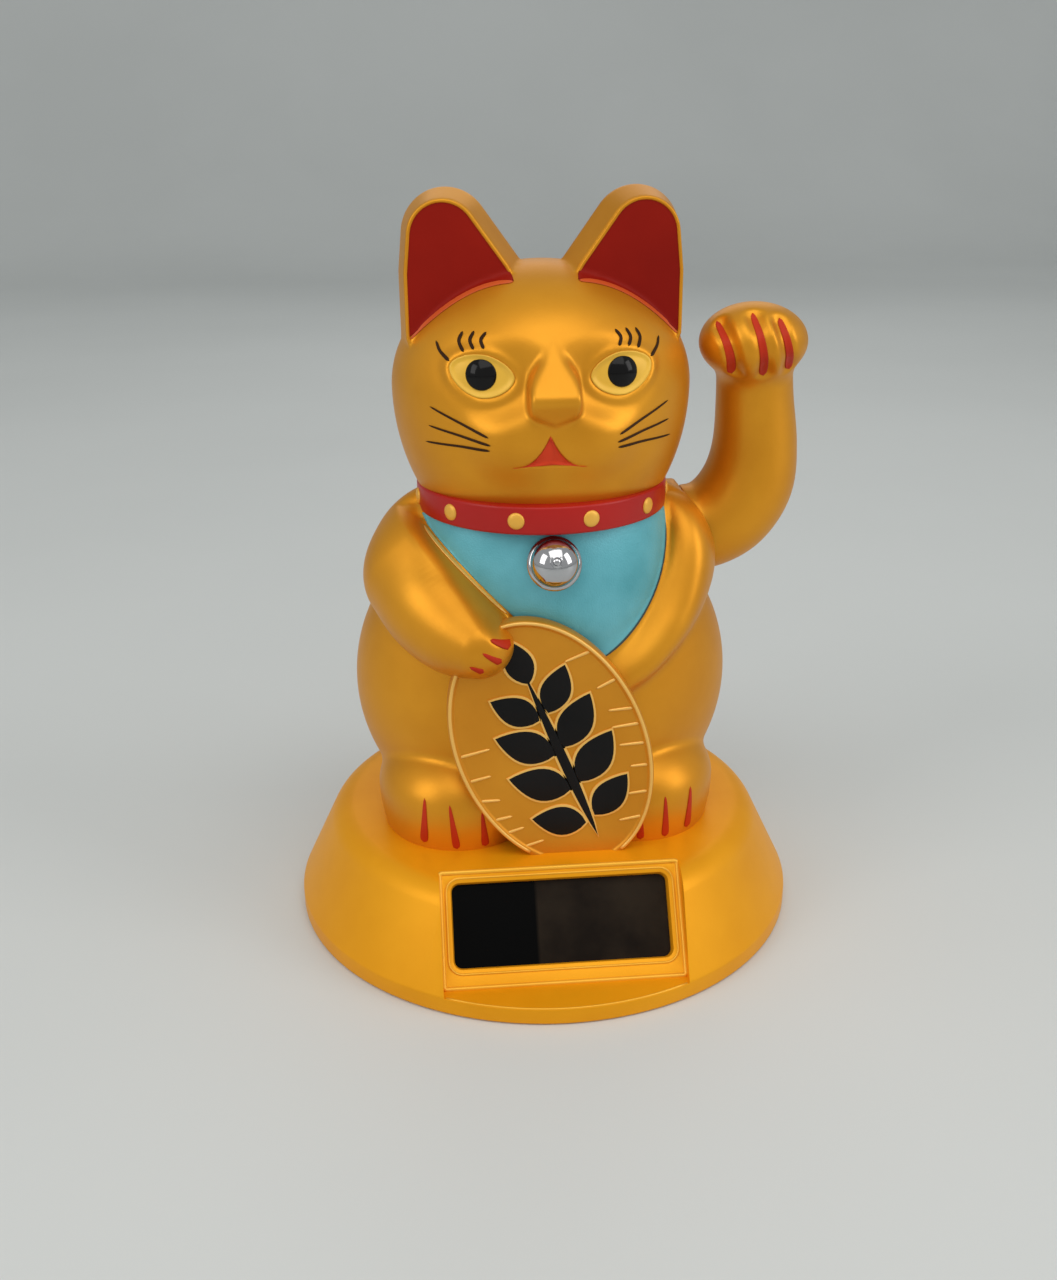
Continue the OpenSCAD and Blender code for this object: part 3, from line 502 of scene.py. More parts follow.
def fuse(bm, voxel):
    """Fuses the lumps into one even net by a voxel remesh, and returns it as a new bmesh."""
    clay = as_object(bm, "clay")
    remesh = clay.modifiers.new("fuse", "REMESH")
    remesh.mode = "VOXEL"
    remesh.voxel_size = voxel
    fused = clay.evaluated_get(bpy.context.evaluated_depsgraph_get()).to_mesh()
    net = bmesh.new()
    net.from_mesh(fused)
    bpy.data.objects.remove(clay)
    return net


def cut_away(bm, place, normal):
    """Cuts the net at a plane, throws away the side that the normal points to and fills the cut."""
    geom = bm.verts[:] + bm.edges[:] + bm.faces[:]
    cut = bmesh.ops.bisect_plane(bm, geom=geom, plane_co=place, plane_no=normal, clear_outer=True, dist=1e-4)
    bmesh.ops.remove_doubles(bm, verts=corners_of(cut["geom_cut"]), dist=WELD)
    rim = [e for e in bm.edges if e.is_boundary]
    bmesh.ops.triangle_fill(bm, edges=rim, use_beauty=True)


def merge_into(bm, part):
    """Adds one bmesh to another and frees it."""
    mesh = bpy.data.meshes.new("part")
    part.to_mesh(mesh)
    part.free()
    bm.from_mesh(mesh)


def carve(bm, cutter):
    """Takes the cutter's shape out of the bmesh with an exact boolean."""
    pair = [as_object(shape, "carve") for shape in (bm, cutter)]
    cut = pair[0].modifiers.new("carve", "BOOLEAN")
    cut.operation = "DIFFERENCE"
    cut.solver = "EXACT"
    cut.object = pair[1]
    result = bmesh.new()
    result.from_mesh(pair[0].evaluated_get(bpy.context.evaluated_depsgraph_get()).to_mesh())
    for used in pair:
        bpy.data.objects.remove(used)
    return result


def piece(bm, name, body, material, sharp=None, stands_for=()):
    """Turns a bmesh in millimetres into a finished object that rides on a body."""
    bmesh.ops.recalc_face_normals(bm, faces=bm.faces)
    bmesh.ops.scale(bm, vec=(MM, MM, MM), verts=bm.verts)
    for face in bm.faces:
        face.smooth = True
    if sharp is not None:
        for edge in bm.edges:
            if len(edge.link_faces) == 2 and edge.calc_face_angle() > math.radians(sharp):
                edge.smooth = False
    made = as_object(bm, name)
    made.data.materials.append(material)
    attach(made, body)
    if stands_for:
        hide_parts(*stands_for)
    print(name, len(made.data.polygons), "faces")


# %% The cat's skin
SKIN_VOXEL, EAR_ROWS = 0.55, 6
clay = bmesh.new()
for centre, half in (TORSO, RUMP, LAP, CHEST, HEAD):
    lump(clay, centre, half)
lump(clay, *NECK_LUMP)
lump(clay, *NOSE_LUMP)
for side in (-1, 1):
    for (x, y, z), half in (FOOT, SHOULDER):
        lump(clay, (side * x, y, z), half, 0.85)
    corners = [Vector((side * x, -3.5, z)) for (x, z), _ in EAR_SPOTS]
    radii = [r for _, r in EAR_SPOTS]
    for i in range(EAR_ROWS + 1):
        for k in range(EAR_ROWS + 1 - i):
            share = (i / EAR_ROWS, k / EAR_ROWS, 1 - (i + k) / EAR_ROWS)
            at = sum((c * s for c, s in zip(corners, share)), Vector())
            r = 0.75 * sum(q * s for q, s in zip(radii, share)) + 0.4
            lump(clay, at, (r, 4.5, r))
for centre, r in RIGHT_ARM + LEFT_SHOULDER:
    lump(clay, centre, (r, r, r), 0.85)
lump_chain(clay, smooth_chain([((8, PIVOT_Y, PIVOT_Z), 7), ((17, PIVOT_Y, PIVOT_Z), 7)]))
skin = clay
for step in range(3):
    skin = fuse(skin, SKIN_VOXEL)
    print("mean distance left", settle(skin, cat_field), "mm,", len(skin.verts), "corners")

# %% Finer net where there is detail
def refine(bm, field, chosen):
    """Splits the faces whose middle is chosen, and settles the finer net."""
    faces = [f for f in bm.faces if chosen(f.calc_center_median())]
    edges = list({e for f in faces for e in f.edges})
    bmesh.ops.subdivide_edges(bm, edges=edges, cuts=1, use_grid_fill=True)
    return settle(bm, field, rounds=4)


def fine_on_cat(at):
    on_face = at.y < -14 and 83 < at.z < 106
    on_ear_front = at.y < -6 and at.z > 101
    at_bib = at.y < -9 and 51 < at.z < 74 and abs(at.x) < 21
    return on_face or on_ear_front or at_bib


print("mean distance left", refine(skin, cat_field, fine_on_cat), "mm,", len(skin.verts), "corners")
skin_tree = BVHTree.FromBMesh(skin)

# %% The two shells
SHELL_WALL, PIN_HOLE_R, INNER_VOXEL = 2.0, 2.5, 1.1
skin = carve(skin, rod(SEAT_X, SEAT_X + 30, RECESS_R))
inner = skin.copy()
for step in range(2):
    inner = fuse(inner, INNER_VOXEL)
    settle(inner, lambda p: soft_both(cat_field(p), -beside_arm(p), 0.5) + SHELL_WALL, rounds=10)
bmesh.ops.reverse_faces(inner, faces=inner.faces)
merge_into(skin, inner)
skin = carve(skin, rod(SEAT_X - 2 * SHELL_WALL, SEAT_X + 1, PIN_HOLE_R))
cut_away(skin, (0, 0, DECK), (0, 0, -1))
front = skin.copy()
cut_away(front, (0, SEAM_Y, 0), (0, 1, 0))
cut_away(skin, (0, SEAM_Y, 0), (0, -1, 0))
piece(front, "cat_front", "figurine", GOLD, sharp=40, stands_for=["front_shell"])
piece(skin, "cat_rear", "figurine", GOLD, sharp=40, stands_for=["rear_shell"])

# %% [markdown]
# ## The waving arm
# The arm is a bent limb that stands on the pin's outer end. Its paw is a closed fist with
# three grooves between the fingers. It is a piece of its own with a flat root, so that it
# can turn beside the shoulder, and like the cat it is moulded in two shells.

# %% Arm field and skin
ARM = smooth_chain([((25.5, 3, 67.4), 7.4), ((29.5, 3, 67.9), 7.7), ((33.6, 3, 70.6), 8),
                    ((36.5, 2.9, 75.5), 7.9), ((37.3, 2.6, 82), 7.2), ((36.7, 2, 90.5), 6.5),
                    ((36, 1, 98), 6.3)])
PAW = ((34.9, -2.2, 100.2), (8.9, 7.9, 6.3))
GROOVES = [((28.3, 103.8), (30.8, 95.6)), ((33.5, 105.2), (35.7, 95.3)), ((37.7, 104.4), (40.3, 96.0))]
GROOVE_R, GROOVE_OUT = 1.3, 0.7


def before_egg(form, x, z, out):
    """A point at (x, z) that stands out from the front of an egg."""
    centre, half = form
    ring = 1 - ((x - centre[0]) / half[0]) ** 2 - ((z - centre[2]) / half[2]) ** 2
    return (x, centre[1] - half[1] * math.sqrt(max(ring, 0)) - out, z)


groove_lines = []
for top, low in GROOVES:
    flat = [Vector(top).lerp(Vector(low), share) for share in (0, 0.25, 0.5, 0.75, 1)]
    places = [(before_egg(PAW, *spot, GROOVE_OUT), GROOVE_R) for spot in flat]
    groove_lines.append(smooth_chain(places, steps=3))


def arm_field(p):
    paw = egg(p, *PAW)
    for groove in groove_lines:
        paw = soft_both(paw, -limb(p, groove), 1.2)
    arm = soft_join(limb(p, ARM), paw, 2.5)
    return soft_both(arm, ARM_ROOT_X - p[:, 0], 0.6)


ARM_VOXEL = 0.5
clay = bmesh.new()
lump_chain(clay, ARM)
lump(clay, *PAW)
arm = fuse(clay, ARM_VOXEL)
settle(arm, arm_field)
arm = fuse(arm, ARM_VOXEL)
settle(arm, arm_field)
left = refine(arm, arm_field, lambda at: at.z > 93 and at.y < 0)
print("mean distance left", left, "mm,", len(arm.verts), "corners")
arm_tree = BVHTree.FromBMesh(arm)
arm_front = arm.copy()
cut_away(arm_front, (0, PIVOT_Y, 0), (0, 1, 0))
cut_away(arm, (0, PIVOT_Y, 0), (0, -1, 0))
piece(arm_front, "arm_front", "swing", GOLD, sharp=40, stands_for=["arm_front_shell"])
piece(arm, "arm_rear", "swing", GOLD, sharp=40, stands_for=["arm_rear_shell"])

# %% [markdown]
# ## The base
# The base is turned: a rim, a slope and a rounded shoulder up to the deck. Its front is
# cut by a slanting panel with a window for the solar cell and a narrow ledge below. A
# profile is spun about the upright axis, then exact booleans take out the recess, the
# hollow inside, the pendulum's slot and the window. The new edges are bevelled, because a
# moulded edge is never sharp and its highlight shows the shape.

# %% Turning and carving helpers
def turned(profile, centre=(0, 0), steps=128):
    """Spins a list of (radius, height) points about an upright axis into a closed net."""
    bm = bmesh.new()
    verts = [bm.verts.new((centre[0] + r, centre[1], z)) for r, z in profile]
    edges = [bm.edges.new(pair) for pair in zip(verts, verts[1:])]
    bmesh.ops.spin(bm, geom=verts + edges, cent=(*centre, 0), axis=(0, 0, 1), angle=2 * math.pi,
                   steps=steps, use_merge=True)
    bmesh.ops.remove_doubles(bm, verts=bm.verts, dist=1e-4)
    bmesh.ops.recalc_face_normals(bm, faces=bm.faces)
    return bm


def mapped_grid(across, along, place):
    """A grid whose corners move to place(u, v), with u and v from 0 to 1, and join where they meet."""
    bm = bmesh.new()
    bmesh.ops.create_grid(bm, x_segments=across, y_segments=along, size=0.5)
    for v in bm.verts:
        v.co = place(v.co.x + 0.5, v.co.y + 0.5)
    bmesh.ops.remove_doubles(bm, verts=bm.verts, dist=1e-4)
    return bm


def tube(path, radius, outwards, closed=False):
    """A thin round tube along 3-D points on a surface that faces outwards."""
    pts = [Vector(p) for p in path]
    if closed:
        pts.append(pts[0])
    last = len(pts) - 1
    def place(u, v):
        i = round(u * last)
        before = pts[i - 1] if i else (pts[-2] if closed else pts[0])
        after = pts[i + 1] if i < last else (pts[1] if closed else pts[-1])
        side = (after - before).cross(outwards).normalized()
        out = side.cross(after - before).normalized()
        a = 2 * math.pi * v
        return pts[i] + (side * math.cos(a) + out * math.sin(a)) * radius
    bm = mapped_grid(last, 12, place)
    bmesh.ops.holes_fill(bm, edges=bm.edges, sides=0)
    return bm


def prism(outline, depth):
    """A flat outline of 3-D points, extruded by a vector."""
    bm = bmesh.new()
    sheet = bm.faces.new([bm.verts.new(p) for p in outline])
    grown = bmesh.ops.extrude_face_region(bm, geom=[sheet])["geom"]
    bmesh.ops.translate(bm, vec=depth, verts=corners_of(grown))
    bmesh.ops.recalc_face_normals(bm, faces=bm.faces)
    return bm


def arc(centre, radius, start, end, steps):
    """Points on an arc, with its angles in degrees."""
    angles = [math.radians(start + (end - start) * i / steps) for i in range(steps + 1)]
    return [(centre[0] + radius * math.cos(a), centre[1] + radius * math.sin(a)) for a in angles]


def round_box(width, height, radius, steps=6):
    """Corners of a rounded rectangle about the origin, as flat (x, y) points."""
    x, y = width / 2 - radius, height / 2 - radius
    corners = [((x, y), 0), ((-x, y), 90), ((-x, -y), 180), ((x, -y), 270)]
    return [p for place, start in corners for p in arc(place, radius, start, start + 90, steps)]


# %% Base sizes
BASE_R, RIM_H, DECK_R, SHOULDER_R, WALL = 45.0, 3.5, 34.5, 5.0, 2.0
SKIRT_Z, LEDGE_Z, PANEL_FOOT, PANEL_TILT, PANEL_W = 0.1, 3.0, 38.2, math.radians(55), 40.0
WINDOW_W, WINDOW_LOW, WINDOW_H, WINDOW_CORNER = 36.0, 3.3, 13.56, 1.3
PANEL_L = (DECK - LEDGE_Z) / math.sin(PANEL_TILT)
SLOT_W, SLOT_HALF_L = 16.4, 17.9
FAR = 200


def on_panel(x, y, z):
    """A point in the panel's own frame: x across, y up the slope, z out of its face."""
    c, s = math.cos(PANEL_TILT), math.sin(PANEL_TILT)
    return (x, -PANEL_FOOT + y * c - z * s, LEDGE_Z + y * s + z * c)


toward = math.atan2(RIM_H - (DECK - SHOULDER_R), BASE_R - DECK_R)
reach = math.hypot(BASE_R - DECK_R, RIM_H - (DECK - SHOULDER_R))
tangent = math.degrees(toward + math.acos(SHOULDER_R / reach))
outer = [(0, SKIRT_Z)] + arc((BASE_R - 0.5, SKIRT_Z + 0.5), 0.5, -90, 0, 5)
outer += arc((BASE_R - 1.2, RIM_H - 0.6), 1.2, 0, tangent, 4)
outer += arc((DECK_R, DECK - SHOULDER_R), SHOULDER_R, tangent, 90, 14) + [(0, DECK)]
inner = [(0, SKIRT_Z - 1), (BASE_R - WALL, SKIRT_Z - 1), (BASE_R - WALL, RIM_H - 0.5)]
inner += [(DECK_R + SHOULDER_R - WALL - 1, DECK - WALL), (0, DECK - WALL)]
print("panel", round(PANEL_L, 2), "mm up the slope")

# %% Base shell
base = turned(outer)
foot, top = on_panel(0, 0, 0), on_panel(0, 60, 0)
wedge = [(-PANEL_W / 2, foot[1], foot[2]), (-PANEL_W / 2, top[1], top[2])]
wedge += [(-PANEL_W / 2, -FAR, top[2]), (-PANEL_W / 2, -FAR, foot[2])]
base = carve(base, prism(wedge, (PANEL_W, 0, 0)))
hollow = turned(inner)
cut_away(hollow, on_panel(0, 0, -WALL), (0, -math.sin(PANEL_TILT), math.cos(PANEL_TILT)))
bmesh.ops.recalc_face_normals(hollow, faces=hollow.faces)
base = carve(base, hollow)
straight = SLOT_HALF_L - SLOT_W / 2
slot = [(x, PIVOT_Y + straight + y, DECK - 5) for x, y in arc((0, 0), SLOT_W / 2, 0, 180, 20)]
slot += [(x, PIVOT_Y - straight + y, DECK - 5) for x, y in arc((0, 0), SLOT_W / 2, 180, 360, 20)]
base = carve(base, prism(slot, (0, 0, 10)))
window_y = WINDOW_LOW + WINDOW_H / 2
window = [on_panel(x, window_y + y, -WALL - 1) for x, y in round_box(WINDOW_W, WINDOW_H, WINDOW_CORNER)]
out_of_panel = Vector((0, -math.sin(PANEL_TILT), math.cos(PANEL_TILT)))
base = carve(base, prism(window, out_of_panel * (WALL + 4)))


def height_off_panel(point):
    return (point - Vector(on_panel(0, 0, 0))) @ out_of_panel


def crisp_edges(bm, at_window):
    """Edges of the panel's recess, or those around the window's outer mouth."""
    found = []
    for e in bm.edges:
        if len(e.link_faces) != 2 or e.calc_face_angle() < math.radians(28):
            continue
        ends = [v.co for v in e.verts]
        flush = max(abs(height_off_panel(p)) for p in ends) < 0.05
        low, high = on_panel(0, WINDOW_LOW, 0)[2], on_panel(0, WINDOW_LOW + WINDOW_H, 0)[2]
        inside = all(abs(p.x) < WINDOW_W / 2 + 0.1 and low - 0.1 < p.z < high + 0.1 for p in ends)
        outside = all(height_off_panel(p) > -0.05 and p.y < -15 and p.z > LEDGE_Z - 0.05 for p in ends)
        if (flush and inside) if at_window else (outside and not (flush and inside)):
            found.append(e)
    return found


def round_off(bm, edges, size, steps=3):
    bmesh.ops.bevel(bm, geom=edges, offset=size, offset_type="OFFSET", segments=steps, profile=0.5,
                    affect="EDGES", material=-1, clamp_overlap=True)


round_off(base, crisp_edges(base, at_window=True), 0.7, steps=2)
round_off(base, crisp_edges(base, at_window=False), 0.35)
piece(base, "base_body", "figurine", YELLOW, sharp=30, stands_for=["base_shell"])

# %% [markdown]
# Fine raised lines edge the panel: a bead around it, a frame around the window and a line
# along the ledge. Their paler yellow is a painted highlight on these edges. A line is a thin
# tube along a path, half sunk in the surface.

# %% Panel lines
BEAD_R, LINE_R, FRAME_GAP = 0.4, 0.2, 0.95
# A yellow paler than the base's, as a painted highlight on the raised lines.
HIGHLIGHT_YELLOW = finish("edge_painted_highlight", [(0.88, 0.42, 0.02), (0.94, 0.48, 0.035)], (0.32, 0.42), metal=0.35)


def panel_loop(width, low, height, corner, radius):
    """A closed raised line on the panel along a rounded rectangle."""
    path = [on_panel(x, low + height / 2 + y, 0) for x, y in round_box(width, height, corner)]
    return tube(path, radius, out_of_panel, closed=True)


panel_lines = panel_loop(PANEL_W - 0.2, 0.15, PANEL_L - 0.3, 0.5, BEAD_R)
frame_low, frame_h = WINDOW_LOW - FRAME_GAP, WINDOW_H + 2 * FRAME_GAP
frame_w, frame_corner = WINDOW_W + 2 * FRAME_GAP, WINDOW_CORNER + FRAME_GAP
merge_into(panel_lines, panel_loop(frame_w, frame_low, frame_h, frame_corner, LINE_R))
ledge_r = BASE_R - 0.3
ledge_turn = math.asin((PANEL_W / 2 - 0.4) / ledge_r)
turns = np.linspace(-1, 1, 25) * ledge_turn
ledge_line = [(ledge_r * math.sin(a), -ledge_r * math.cos(a), LEDGE_Z) for a in turns]
merge_into(panel_lines, tube(ledge_line, LINE_R, Vector((0, 0, 1))))
piece(panel_lines, "panel_lines", "figurine", HIGHLIGHT_YELLOW)

# %% [markdown]
# ## Collar and bell
# The collar is a smooth red band with round gold studs, and a chromed bell with a rim and
# a button hangs under it. Both are turned, and the bell is then tipped up a little. The
# studs are flattened balls in even steps around the band.

# %% Trim finishes
RED = finish("collar_red", [(0.40, 0.008, 0.005), (0.46, 0.012, 0.008)], (0.3, 0.4), specular_ior_level=0.3)
STUD = finish("stud_gold", [(0.82, 0.42, 0.05), (0.88, 0.48, 0.07)], (0.35, 0.45), metal=0.3)
CHROME = finish("bell_chrome", [(0.45, 0.45, 0.47), (0.52, 0.52, 0.53)], (0.06, 0.12), metal=1.0, bump=0.01)


def thicken(bm, depth=0.3):
    """Gives a sheet that faces the viewer a wall that sinks in behind it, so that it is closed."""
    sunk = bmesh.ops.extrude_face_region(bm, geom=bm.faces[:])["geom"]
    bmesh.ops.translate(bm, vec=(0, depth, 0), verts=corners_of(sunk))
    return bm


# %% Collar and studs
COLLAR_Y, COLLAR_R, COLLAR_LOW, COLLAR_TOP, COLLAR_EDGE = -1.0, 20.9, 74.2, 78.8, 0.5
STUD_R, STUD_RISE, STUDS = 1.35, 0.45, 11
band = [(COLLAR_R - 3, COLLAR_LOW)]
band += arc((COLLAR_R - COLLAR_EDGE, COLLAR_LOW + COLLAR_EDGE), COLLAR_EDGE, -90, 0, 5)
band += arc((COLLAR_R - COLLAR_EDGE, COLLAR_TOP - COLLAR_EDGE), COLLAR_EDGE, 0, 90, 5)
band += [(COLLAR_R - 3, COLLAR_TOP), band[0]]
piece(turned(band, centre=(0, COLLAR_Y)), "collar_band", "figurine", RED, sharp=40)
studs = bmesh.new()
for i in range(STUDS):
    a = 2 * math.pi * (i + 0.5) / STUDS
    facing = Vector((math.sin(a), -math.cos(a), 0))
    at = Vector((0, COLLAR_Y, (COLLAR_LOW + COLLAR_TOP) / 2)) + facing * COLLAR_R
    turn = facing.to_track_quat("Z", "Y").to_matrix().to_4x4()
    place = Matrix.Translation(at) @ turn @ Matrix.Diagonal((STUD_R, STUD_R, STUD_RISE, 1))
    bmesh.ops.create_uvsphere(studs, u_segments=20, v_segments=12, radius=1, matrix=place)
piece(studs, "collar_studs", "figurine", STUD)

# %% Bell
BELL_R, BELL_H, BELL_FOOT, BUTTON_R = 4.0, 3.3, 0.9, 1.05
BELL_AT, BELL_UP = (0, -21.4, 69.5), math.radians(22)
profile = [(0, 0), (BELL_R + 0.1, 0), (BELL_R + 0.35, 0.3), (BELL_R + 0.2, 0.7), (BELL_R - 0.15, BELL_FOOT)]
dome = np.radians(np.linspace(4, 76, 14))
profile += [(0.96 * BELL_R * math.cos(a), BELL_FOOT + BELL_H * math.sin(a)) for a in dome]
top = profile[-1][1]
profile += [(BUTTON_R, top - 0.1), (BUTTON_R - 0.05, top + 0.25), (BUTTON_R - 0.35, top + 0.36)]
profile += [(BUTTON_R - 0.43, top + 0.2), (BUTTON_R - 0.7, top + 0.42), (0, top + 0.48)]
bell = turned(profile, steps=64)
hang = Matrix.Translation(BELL_AT) @ Matrix.Rotation(math.radians(90) - BELL_UP, 4, "X")
bmesh.ops.transform(bell, matrix=hang, verts=bell.verts)
piece(bell, "bell", "figurine", CHROME, sharp=50, stands_for=["collar_bell"])

# %% [markdown]
# ## The coin
# An oval coin leans against the belly with its foot on the deck. It has a raised rim,
# short hammered lines along both edges and a dark raised ornament with a fine pale
# border. The ornament here is a plain sprig of leaves. The plate is a circle that is
# scaled, extruded and inset; a leaf is a pointed arch drawn twice, once a little larger
# for the border.

# %% Coin plate
COIN_GOLD = finish("coin_gold", [(0.64, 0.25, 0.010), (0.72, 0.30, 0.016)], (0.4, 0.5), metal=0.6, bump=0.05)
COIN_LINE = finish("coin_line", [(0.86, 0.48, 0.10), (0.92, 0.54, 0.13)], (0.3, 0.4), metal=0.4)
COIN_BLACK = finish("coin_black", [(0.004, 0.004, 0.004), (0.007, 0.006, 0.006)], (0.45, 0.55),
                    specular_ior_level=0.15)
COIN_AT, COIN_HALF, COIN_LEAN = (-0.6, 38.3), (15.7, 23.5), math.radians(22)
COIN_BACK, COIN_T, COIN_RIM_W, COIN_RIM_H = -20.8, 2.2, 0.85, 0.4


def on_coin(across, along, out):
    """A point on the coin: across its width, along its length and out of its face."""
    c, s = math.cos(COIN_LEAN), math.sin(COIN_LEAN)
    x, z = COIN_AT[0] + across * c - along * s, COIN_AT[1] + across * s + along * c
    return Vector((x, COIN_BACK - COIN_T - out, z))


coin = bmesh.new()
bmesh.ops.create_circle(coin, cap_ends=True, segments=160, radius=1)
for v in coin.verts:
    v.co = on_coin(v.co.x * COIN_HALF[0], v.co.y * COIN_HALF[1], -COIN_T)
grown = bmesh.ops.extrude_face_region(coin, geom=coin.faces[:])["geom"]
bmesh.ops.translate(coin, vec=(0, -COIN_T - COIN_RIM_H, 0), verts=corners_of(grown))
bmesh.ops.recalc_face_normals(coin, faces=coin.faces)
front_face = min(coin.faces, key=lambda f: f.calc_center_median().y)
bmesh.ops.inset_region(coin, faces=[front_face], thickness=COIN_RIM_W, use_even_offset=True)
bmesh.ops.inset_region(coin, faces=[front_face], thickness=0.25, depth=-COIN_RIM_H, use_even_offset=True)
round_off(coin, [e for e in coin.edges if e.calc_face_angle() > math.radians(40)], 0.22, steps=2)
cut_away(coin, (0, 0, DECK + 0.02), (0, 0, -1))
piece(coin, "coin", "figurine", COIN_GOLD, sharp=40, stands_for=["koban_coin"])


# %% Coin lines
STROKE_STEP, STROKE_LIFT = 0.4, 0.1


def ribbon(path, start, end, rise, put):
    """A raised stroke through flat points that put(x, y, lift) places.

    Its half-width goes from start to end.
    """
    length = sum(math.dist(a, b) for a, b in zip(path, path[1:]))
    steps = max(6, round(length / STROKE_STEP / (len(path) - 1)))
    pts = [Vector(spot) for spot, _ in smooth_chain([(spot, 0) for spot in path], steps=steps)]
    last = len(pts) - 1
    def place(u, v):
        i = round(u * last)
        way = (pts[min(i + 1, last)] - pts[max(i - 1, 0)]).normalized()
        blunt = math.sqrt(max(0.0, 1 - (2 * u - 1) ** 8))
        side = (2 * v - 1) * (start + (end - start) * u) * blunt
        lift = STROKE_LIFT + rise * (1 - (2 * v - 1) ** 2) * blunt
        return put(pts[i].x - way.y * side, pts[i].y + way.x * side, lift)
    return thicken(mapped_grid(last, 6, place))


def on_rim(along, side):
    """The inner edge of the coin's rim at a height along it, on one side."""
    return side * (COIN_HALF[0] * math.sqrt(1 - (along / COIN_HALF[1]) ** 2) - COIN_RIM_W), along


LEFT_LINES = [(4.8, 5.2, -0.7), (0, 3.8, -0.5), (-4.1, 3.2, -1.2), (-8.4, 3, -0.5),
              (-11.5, 3, -0.2), (-15.2, 3.4, -0.2)]
RIGHT_LINES = [(13.3, 4.6, 0), (7.1, 3.6, -0.3), (1.1, 4, 1.3), (-1.9, 4.6, 1.2),
               (-5.6, 4.2, 1.4), (-9.6, 3, 1), (-14.2, 3.4, 1), (-18.2, 4, 0.9)]
hammered = bmesh.new()
for side, rows in ((-1, LEFT_LINES), (1, RIGHT_LINES)):
    for along, length, climb in rows:
        start = on_rim(along, side)
        path = [start, (start[0] - side * length, along + climb)]
        merge_into(hammered, ribbon(path, 0.3, 0.2, 0.15, on_coin))
piece(hammered, "coin_lines", "figurine", COIN_LINE)
RIM_LINE_R = 0.3
across, along = (half - 0.45 for half in COIN_HALF)
turns = np.linspace(-np.pi / 2, 3 * np.pi / 2, 161)
edge = [on_coin(across * math.cos(a), along * math.sin(a), COIN_RIM_H - 0.1) for a in turns]
rim_line = tube([p for p in edge if p.z > DECK + RIM_LINE_R], RIM_LINE_R, Vector((0, -1, 0)))
piece(rim_line, "coin_rim", "figurine", COIN_LINE)


# %% Sprig
def leaf(foot, turn, length, half_width, grow, out):
    """A pointed leaf on the coin's face, grown by a margin, with bevelled edges."""
    c, s = math.cos(math.radians(turn)), math.sin(math.radians(turn))
    steps = 12
    outline = []
    for i in range(2 * steps):
        side = 1 if i < steps else -1
        t = i / steps if i < steps else 2 - i / steps
        w = side * (half_width + grow) * math.sin(math.pi * t**0.85) ** 0.9
        d = -grow + t * (length + 2 * grow)
        outline.append(on_coin(foot[0] + d * s + w * c, foot[1] + d * c - w * s, -0.1))
    part = prism(outline, (0, -0.1 - out, 0))
    top = min(part.faces, key=lambda f: f.calc_center_median().y)
    round_off(part, top.edges[:], 0.12, steps=2)
    return part


STEM_X, STEM_LOW, STEM_L, STEM_HALF = 0.9, -18.5, 33, 0.85
LEAF_ROWS = [(-14.5, 58, 9.2, 2.7), (-7.6, 52, 10.6, 3.0), (-0.6, 46, 10.4, 2.9), (6.2, 40, 8.8, 2.5)]
LEAF_BORDER = 0.42
leaves = [((STEM_X, STEM_LOW), 0, STEM_L, STEM_HALF), ((STEM_X, 12.2), -2, 8.4, 2.3)]
for along, turn, length, half_width in LEAF_ROWS:
    leaves.append(((STEM_X + 0.9, along), turn, length, half_width))
    leaves.append(((STEM_X - 0.9, along - 0.7), -turn - 3, length, half_width))
border, dark = bmesh.new(), bmesh.new()
for shape in leaves:
    merge_into(border, leaf(*shape, LEAF_BORDER, 0.26))
    merge_into(dark, leaf(*shape, 0.0, 0.36))
piece(border, "sprig_border", "figurine", COIN_LINE, sharp=40)
piece(dark, "sprig", "figurine", COIN_BLACK, sharp=40)

# %% [markdown]
# ## Paint
# The bib, eyes, lashes, whiskers, mouth, claws and inner ears are painted on by hand.
# Each is a thin sheet laid on the skin: a flat grid in the front view is cast straight
# back onto the skin, lifted by a hair and given a wall that sinks in, so that it follows
# every hollow below it and stays a closed piece. A patch fills an outline from its middle
# outwards, and a stroke is the ribbon that drew the coin's lines.

# %% Paint finishes
def paint(name, tones, rough, shine, **extra):
    """A plain paint that is not metal, with its own strength of highlights."""
    return finish(name, tones, rough, specular_ior_level=shine, **extra)


TEAL = finish("bib_teal", [(0.09, 0.38, 0.44), (0.15, 0.50, 0.58)], (0.3, 0.6), metal=0.35, cloud=90,
              grain=4000, bump=0.3)
EYE_YELLOW = finish("eye_yellow", [(0.80, 0.44, 0.03), (0.88, 0.52, 0.05)], (0.38, 0.48), metal=0.1)
# A near black for the painted shadow along the bib's round edge.
BIB_PAINTED_SHADOW = paint("bib_painted_shadow", [(0.03, 0.05, 0.05), (0.05, 0.07, 0.07)], (0.5, 0.6), 0.2)
PUPIL = paint("pupil_black", [(0.003, 0.003, 0.003), (0.005, 0.004, 0.004)], (0.1, 0.15), 0.2)
LASH = paint("lash_brown", [(0.028, 0.010, 0.003), (0.045, 0.018, 0.006)], (0.4, 0.55), 0.1)
CLAW = paint("claw_red", [(0.46, 0.02, 0.004), (0.56, 0.035, 0.006)], (0.4, 0.55), 0.2)
MOUTH = paint("mouth_red", [(0.66, 0.045, 0.010), (0.74, 0.06, 0.016)], (0.4, 0.55), 0.2)
EAR_RED = paint("ear_red", [(0.23, 0.005, 0.001), (0.29, 0.008, 0.002)], (0.45, 0.58), 0.12, cloud=40)
EAR_EDGE = paint("ear_edge", [(0.55, 0.07, 0.012), (0.62, 0.10, 0.02)], (0.4, 0.5), 0.3)


def on_skin(tree, x, z, lift):
    """The point of the skin straight behind (x, z) in the front view, lifted off it."""
    hit, normal, _, _ = tree.ray_cast(Vector((x, -60, z)), Vector((0, 1, 0)))
    if hit is None:
        hit, normal = tree.find_nearest(Vector((x, -20, z)))[:2]
    return hit + normal * lift


